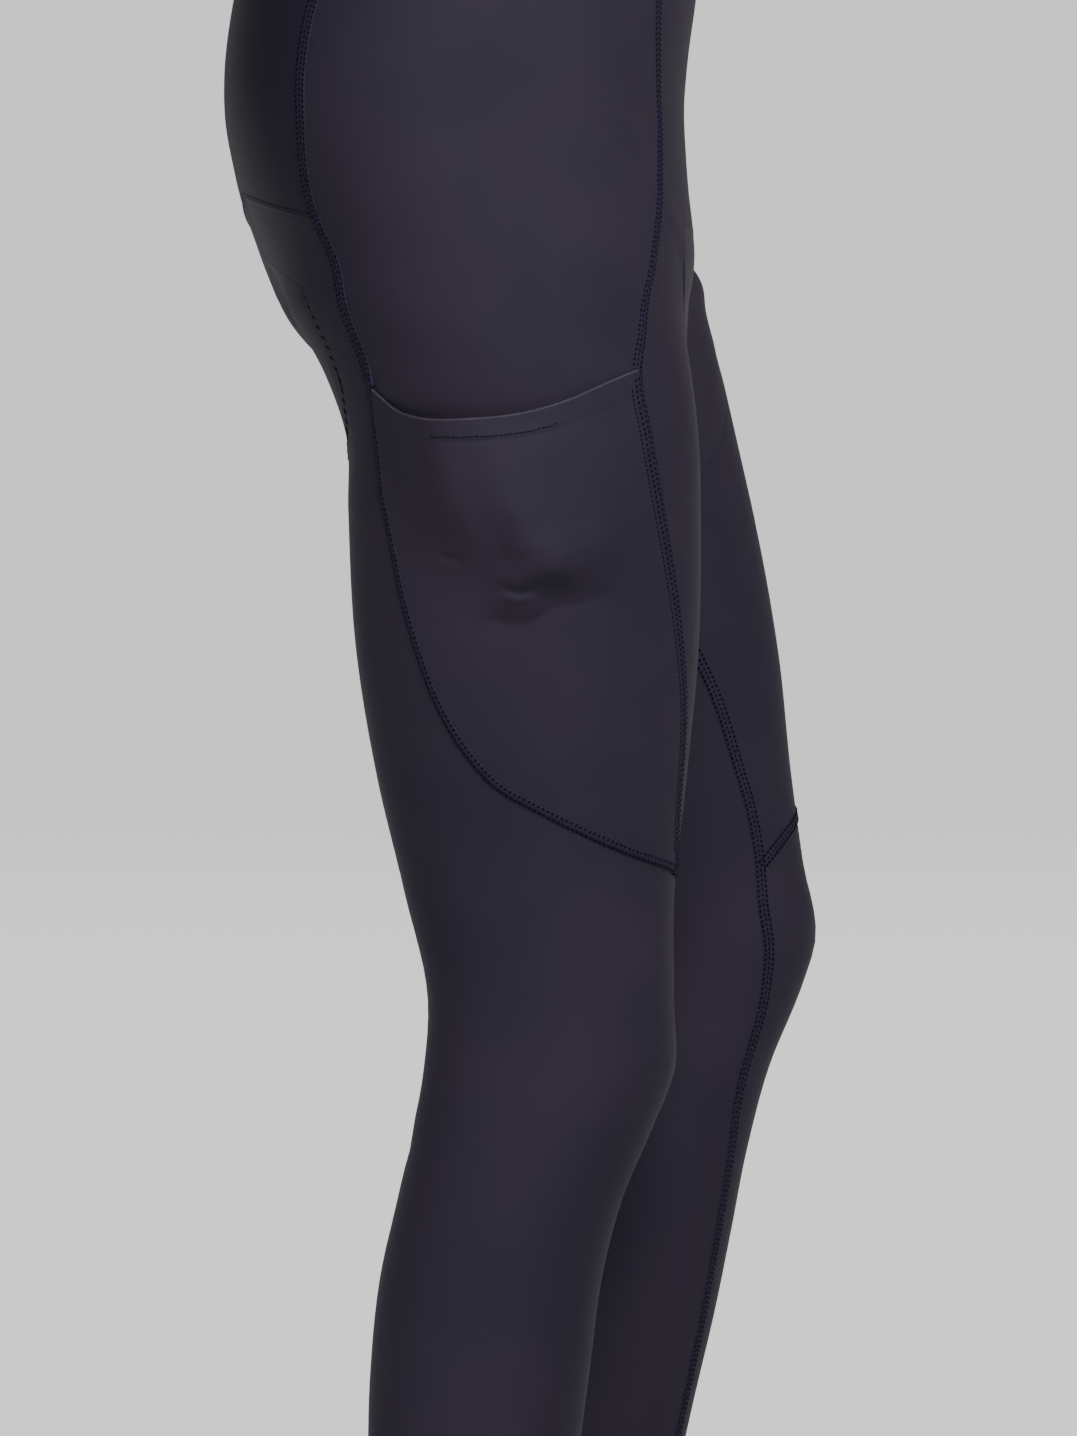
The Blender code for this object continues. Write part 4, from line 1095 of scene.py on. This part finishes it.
def build_front(side, word):
    return build_upper(side, word, "front", front_grid)


def build_side(side, word):
    return build_upper(side, word, "side", side_grid)


def hem_edge_height(side, angle):
    return lifted(side, RIGHT_LEG[0][0]) - HEM_TILT * np.cos(np.radians(angle))


def build_leg(side, word):
    """A leg with its folded and sewn ankle hem."""
    grid = leg_grid(half_seams(side, FINE["leg"]), FINE["leg"])
    points, normals = half_points(side, grid)
    above = grid[..., 1] - hem_edge_height(side, grid[..., 0])
    folded = ANKLE_HEM_LIFT * (1 - smooth_step(ANKLE_HEM - 0.0012, ANKLE_HEM + 0.0012, above))
    points = points + normals * folded[..., None]
    made = cloth_piece(f"leg_{word}", points, normals, cloth_places(side, grid), side)
    angles = np.linspace(grid[0, 0, 0], grid[0, -1, 0], 181)
    rim = np.stack([angles, hem_edge_height(side, angles)], axis=-1)
    points, normals = grid_points(side, rim), grid_normals(side, rim)
    edge = rolled_edge(f"ankle_edge_{word}", points, normals, ANKLE_EDGE_RADIUS)
    rim[:, 1] += ANKLE_HEM
    normals = grid_normals(side, rim)
    points = grid_points(side, rim) + normals * 0.0002
    return made, [edge, sewn_row(f"ankle_stitches_{word}", points, normals, HEM_STITCH_ROWS, STITCH_PITCH)]


def reached(points, values, rows):
    """What a grid holds at the topstitch's distance from its front seam, for each of its rows."""
    found = []
    for row in rows:
        along = travelled(points[row])
        found.append([np.interp(TOPSTITCH_REACH, along, values[row, :, k]) for k in range(3)])
    return np.array(found)


def build_pocket(side, word):
    """A pocket on its side panel: its mouth dips, and its cloth swells over what fills it."""
    fine = FINE["pocket"]
    below = side_grid(half_seams(side, fine), fine)
    columns, last = COLUMNS_SIDE * fine, ROWS_POCKET * fine
    shares = np.linspace(0, 1, columns + 1)
    middle = grid_points(side, below[last - fine:last + 1:fine, columns // 2])
    dip = table_curves(MOUTH, MOUTH_COLUMNS)["dip"](shares)
    top = ROWS_POCKET - dip / np.linalg.norm(middle[1] - middle[0])
    coarse = np.arange(last + 1)[:, None] / fine + np.zeros(columns + 1)
    level = ROWS_POCKET - 2
    rows = np.where(coarse <= level, coarse, level + (coarse - level) / 2 * (top - level)) * fine
    grid = np.zeros(rows.shape + (2,))
    for j in range(columns + 1):
        for k in range(2):
            grid[:, j, k] = np.interp(rows[:, j], np.arange(len(below)), below[:, j, k])
    points, normals = half_points(side, grid)
    fade = smooth_step(0, 0.09, shares) * smooth_step(0, 0.09, 1 - shares)
    lift = swelling(SWELLS[side], shares[None, :] + np.zeros_like(rows), grid[..., 1])
    if side < 0:
        lift = np.maximum(lift + pocket_relief(points), 0.3 * lift)
    from_mouth = edge_lengths(points)
    lift += MOUTH_HEM_LIFT * (1 - smooth_step(MOUTH_HEM - 0.0010, MOUTH_HEM + 0.0006, from_mouth))
    seen = 0.15 + 0.85 * bump(shares - 0.52, 0.20)
    lift -= MOUTH_GROOVE * bump(from_mouth - MOUTH_HEM - 0.0012, 0.0014) * seen[None, :]
    lift = lift * fade + POCKET_BASE_LIFT + CLOTH
    points = points + normals * lift[..., None]
    shaped = own_normals(points, side)
    shaped[0] = normals[0]
    shaped = unit(shaped + 0.15 * normals)
    made = cloth_piece(f"pocket_{word}", points, shaped, cloth_places(side, grid), side)
    # The mouth's rolled edge takes the lighter edge tone: a painted highlight along the fold
    edge = rolled_edge(f"pocket_mouth_{word}", points[-1], shaped[-1], MOUTH_EDGE_RADIUS, "edge")
    picked = np.arange(int(0.34 * columns), int(0.74 * columns))
    row = np.argmin(np.abs(from_mouth - MOUTH_HEM), axis=0)[picked]
    hem = points[row, picked], shaped[row, picked]
    inner = np.arange(int(0.75 * fine), last - fine // 2)
    line = reached(points, points, inner), unit(reached(points, shaped, inner))
    return made, [
        edge,
        sewn_row(f"pocket_hem_stitches_{word}", *hem, HEM_STITCH_ROWS[:1], MOUTH_PITCH),
        sewn_row(f"pocket_topstitch_{word}", *line, SINGLE_ROW, TOPSTITCH_PITCH),
    ]


def build_seat():
    fine = FINE["seat"]
    grids = {}
    for side in (-1, 1):
        centre = middle_chain(side, SEAT_SEAM_CENTRE_HEIGHT, WAIST_HEIGHT, ROWS_SEAT * fine, True)
        grids[side] = ruled(half_seams(side, fine)["seat_edge"], centre, COLUMNS_SEAT_HALF * fine)
    # The seat panel takes the darker seat knit: painted shade at the hip's back
    return cloth_piece("seat", *mirrored(grids), -1, "seat")


def build_gusset():
    """The gusset, with its cloth drawn in between the zigzag's stitches."""
    fine = FINE["gusset"]
    seams = {side: half_seams(side, fine) for side in (-1, 1)}
    points, normals = gusset_shape(seams, fine)
    lift = np.zeros(points.shape[:2])
    for side in (-1, 1):
        line = grid_points(side, seams[side]["gusset_back"])
        distance, share = line_distance(points, line)
        pull = bump(distance - 0.0022, 0.0022) * smooth_step(0.05, 0.2, share)
        waves = share * travelled(line)[-1] / ZIGZAG_PITCH
        lift -= 0.0005 * pull * (0.5 + 0.5 * np.cos(2 * np.pi * waves))
    points = points + normals * lift[..., None]
    across, down = travelled(points[len(points) // 2]), travelled(points[:, points.shape[1] // 2])
    places = np.stack(np.broadcast_arrays(across[None, :], down[:, None]), axis=-1)
    return cloth_piece("gusset", points, normals, places, -1, "gusset")


def build_bib():
    """The bib's back with its three bound edges."""
    rows = ROWS_BIB * FINE["bib"]
    heights = np.linspace(WAIST_HEIGHT, BIB_TOP_HEIGHT, rows + 1)
    edge = np.stack([table_curves(BIB_EDGE, SEAM_COLUMNS)["angle"](heights), heights], axis=-1)
    grids = {}
    for side in (-1, 1):
        centre = middle_chain(side, WAIST_HEIGHT, BIB_TOP_HEIGHT, rows, True)
        grids[side] = ruled(edge, centre, COLUMNS_BIB_HALF * FINE["bib"])
    points, normals, places = mirrored(grids)
    made = cloth_piece("bib_back", points, normals, places, -1, "net", "bib_net")
    edges = (("right", np.s_[:, 0]), ("left", np.s_[:, -1]), ("top", -1))
    return made, [
        rolled_edge(f"bib_edge_{word}", points[at], normals[at], BIB_EDGE_RADIUS, "band")
        for word, at in edges
    ]


def strap_ends(side, shares, laterals):
    """Places where the strap starts at the front waist and ends at the bib's top."""
    seams = half_seams(side, 1)
    front = [seams["centre"][-1] * (1 - share) + seams["front"][-1] * share for share in shares]
    back = [(angle_at(side, lateral, BIB_TOP_HEIGHT, True), BIB_TOP_HEIGHT) for lateral in laterals]
    return np.array(front), np.array(back)


def build_strap(side, word):
    """A strap through its path's sections, with bound and sewn edges."""
    columns, fine = COLUMNS_STRAP * FINE["strap"], FINE["strap"]
    shares, laterals = (np.linspace(*ends, columns + 1) for ends in (STRAP_FRONT_SHARES, STRAP_BACK_EDGES))
    first, last = strap_ends(side, shares, laterals)
    across = np.linspace(-1, 1, columns + 1)
    rows = [grid_points(side, first)]
    for _, y, height, lateral, half_width, drop in STRAP_PATH:
        place = [side * (lateral + half_width * across), np.full_like(across, y), height - drop * across]
        rows.append(np.stack(place, axis=-1))
    rows = np.stack([*rows, grid_points(side, last)])
    stations = np.concatenate([[0.0], column(STRAP_PATH, STRAP_COLUMNS, "station"), [1.0]])
    wanted = np.linspace(0, 1, ROWS_STRAP * fine + 1)
    points = np.zeros((len(wanted), columns + 1, 3))
    for j in range(columns + 1):
        for k in range(3):
            points[:, j, k] = smooth_curve(stations, rows[:, j, k])(wanted)
    normals = own_normals(points, side)
    normals[0], normals[-1] = grid_normals(side, first), grid_normals(side, last)
    down = travelled(points[:, len(across) // 2])
    places = np.stack(np.broadcast_arrays(0.023 * across[None, :], down[:, None]), axis=-1)
    made = cloth_piece(f"strap_{word}", points, normals, places, side, "net", "bib_net")
    extras = []
    for edge, j, near in (("inner", 0, 2), ("outer", -1, -3)):
        name, line = f"strap_edge_{edge}_{word}", np.s_[:, j]
        extras.append(rolled_edge(name, points[line], normals[line], BIB_EDGE_RADIUS, "band"))
        name, line = f"strap_stitches_{edge}_{word}", np.s_[2:-2, near]
        extras.append(sewn_row(name, points[line], normals[line], SINGLE_ROW, STRAP_PITCH, "bib_net"))
    return made, extras


def build_seams(side, word):
    """All the sewn seams of one half, by the panel that each goes with."""
    seams = half_seams(side, SEAM_FINE)
    strap_front, strap_back = strap_ends(side, STRAP_FRONT_SHARES, STRAP_BACK_EDGES)
    seat = straight_chain(seams["back"][-1], seams["centre_back"][-1], 60)
    waist_middle = (angle_at(side, 0.0, WAIST_HEIGHT, True), WAIST_HEIGHT)
    waist = straight_chain((BIB_EDGE[0][1], WAIST_HEIGHT), waist_middle, 60)
    narrow = {"rows": SINGLE_ROW, "width": NARROW_WIDTH, "cloth": "knit"}
    zigzag = {**PLAIN, "rows": ZIGZAG_ROWS, "pitch": ZIGZAG_PITCH}
    table = [
        ("side", "front", seams["front"], {"toward": -side}),
        ("side", "pocket", seams["pocket"], {"rows": POCKET_ROWS, "toward": side, "width": POCKET_WIDTH}),
        ("side", "back", joined(seams["back"], seams["seat_edge"]), {"toward": side}),
        ("leg", "inner", joined(seams["inner_low"], seams["inner"]), {}),
        ("leg", "knee", seams["knee"], {"width": KNEE_WIDTH}),
        ("leg", "seat", seat, narrow),
        ("front", "gusset_front", joined(seams["gusset_front"], seams["gusset_front_end"]), PLAIN),
        ("gusset", "gusset_back", seams["gusset_back"], zigzag),
        ("gusset", "gusset_end", seams["gusset_back_end"], PLAIN),
        ("bib", "waist", waist, {}),
        ("strap", "strap_front", straight_chain(*strap_front, 20), {}),
        ("strap", "strap_back", straight_chain(*strap_back, 20), {}),
    ]
    made = {row[0]: [] for row in table}
    for panel, name, chain, settings in table:
        made[panel].append(sewn_seam(f"seam_{name}_{word}", side, chain, **settings))
    if side < 0:
        made["front"].append(sewn_seam("seam_centre_front", side, seams["centre"]))
        made["leg"].append(sewn_seam("seam_centre_back", side, seams["centre_back"], **PLAIN))
    return made


def build_garment():
    """Every piece, half by half. The seams of both halves that go with the gusset and the bib in the middle
    are gathered in a list each.
    """
    builders = (
        ("front", build_front), ("side", build_side), ("leg", build_leg), ("strap", build_strap),
        ("pocket", build_pocket),
    )
    middle = {"gusset": [], "bib": []}
    for side, word in ((-1, "right"), (1, "left")):
        seams = build_seams(side, word)
        for panel, build in builders:
            made, extras = build(side, word)
        if side < 0:
            gusset = build_gusset()
            bib, middle["bib"] = build_bib()
        for panel in middle:
            middle[panel] = middle[panel] + seams[panel]
    build_seat()


def aim(made, place, target):
    """Turns a camera or light to look from its place at a target."""
    made.location = place
    made.rotation_mode = "QUATERNION"
    way = np.array(target) - np.array(place)
    back = unit(-way)
    right = unit(np.cross([0.0, 0.0, 1.0], back))
    up = np.cross(back, right)
    made.rotation_quaternion = Matrix(np.stack([right, up, back], axis=1).tolist()).to_quaternion()


def fade_over(tree, distance, near, far):
    """0 within the near distance, 1 beyond the far one."""
    inputs = {"From Min": near, "From Max": far, "Value": distance}
    return node(tree, "MapRange", inputs, interpolation_type="SMOOTHSTEP").outputs["Result"]


def build_surround():
    """A world that is bright behind the garment and dimmer elsewhere."""
    world = bpy.data.worlds.new("studio")
    bpy.context.scene.world = world
    world.use_nodes = True
    tree = world.node_tree
    place = node(tree, "TexCoord", {}).outputs["Generated"]
    parts = node(tree, "SeparateXYZ", {0: place}).outputs
    around = colour_mix(tree, fade_over(tree, parts["Y"], *AMBIENT_FADE), AMBIENT, AMBIENT_BACK)
    tone = colour_mix(tree, fade_over(tree, parts["X"], *BACKDROP_SPREAD), around, BACKDROP)
    feed(tree, tree.nodes["Background"], {"Color": tone})


def build_floor():
    """A pale floor that fades into the backdrop's tone towards the horizon."""
    form = bmesh.new()
    bmesh.ops.create_circle(form, cap_ends=True, segments=128, radius=FLOOR_RADIUS)
    mesh = bpy.data.meshes.new("floor")
    form.to_mesh(mesh)
    form.free()
    floor = linked("floor", mesh)
    floor.location = (-ORIGIN_LIFT).tolist()
    paint, tree, matt = new_material("pale_floor")
    feed(tree, matt, {"Base Color": FLOOR_COLOUR, "Roughness": 0.8})
    place = node(tree, "TexCoord", {}).outputs["Object"]
    reach = node(tree, "VectorMath", {0: place}, operation="LENGTH").outputs["Value"]
    tone = colour_mix(tree, fade_over(tree, reach, *HORIZON_FADE), FLOOR_GLOW, BACKDROP)
    glow = node(tree, "Emission", {"Color": tone}).outputs["Emission"]
    both = node(tree, "MixShader", {0: fade_over(tree, reach, *FLOOR_FADE), 1: matt.outputs["BSDF"], 2: glow})
    feed(tree, tree.nodes["Material Output"], {"Surface": both.outputs["Shader"]})
    mesh.materials.append(paint)


def build_stage():
    """The studio: surround, floor, soft lights and the camera."""
    build_surround()
    build_floor()
    for name, place, target, size, power, spread in LIGHTS:
        lamp = bpy.data.lights.new(name, "AREA")
        lamp.shape = "SQUARE"
        lamp.size = size
        lamp.energy = power
        lamp.spread = np.radians(spread)
        aim(linked(name, lamp), place, target)
    lens = bpy.data.cameras.new("camera")
    lens.sensor_fit = "AUTO"
    lens.sensor_width = SENSOR
    lens.lens = SENSOR * FOCAL_PIXELS / PHOTO_HEIGHT
    lens.clip_start, lens.clip_end = 0.05, 100.0
    camera = linked("camera", lens)
    turn = np.radians(CAMERA_TURN)
    target = np.array([0.0, AIM_Y, AIM_HEIGHT - SHOULDER_HEIGHT])
    place = target + CAMERA_DISTANCE * np.array([-np.cos(turn), np.sin(turn), 0.0])
    aim(camera, place.tolist(), target.tolist())
    bpy.context.scene.camera = camera


build_stage()
build_garment()
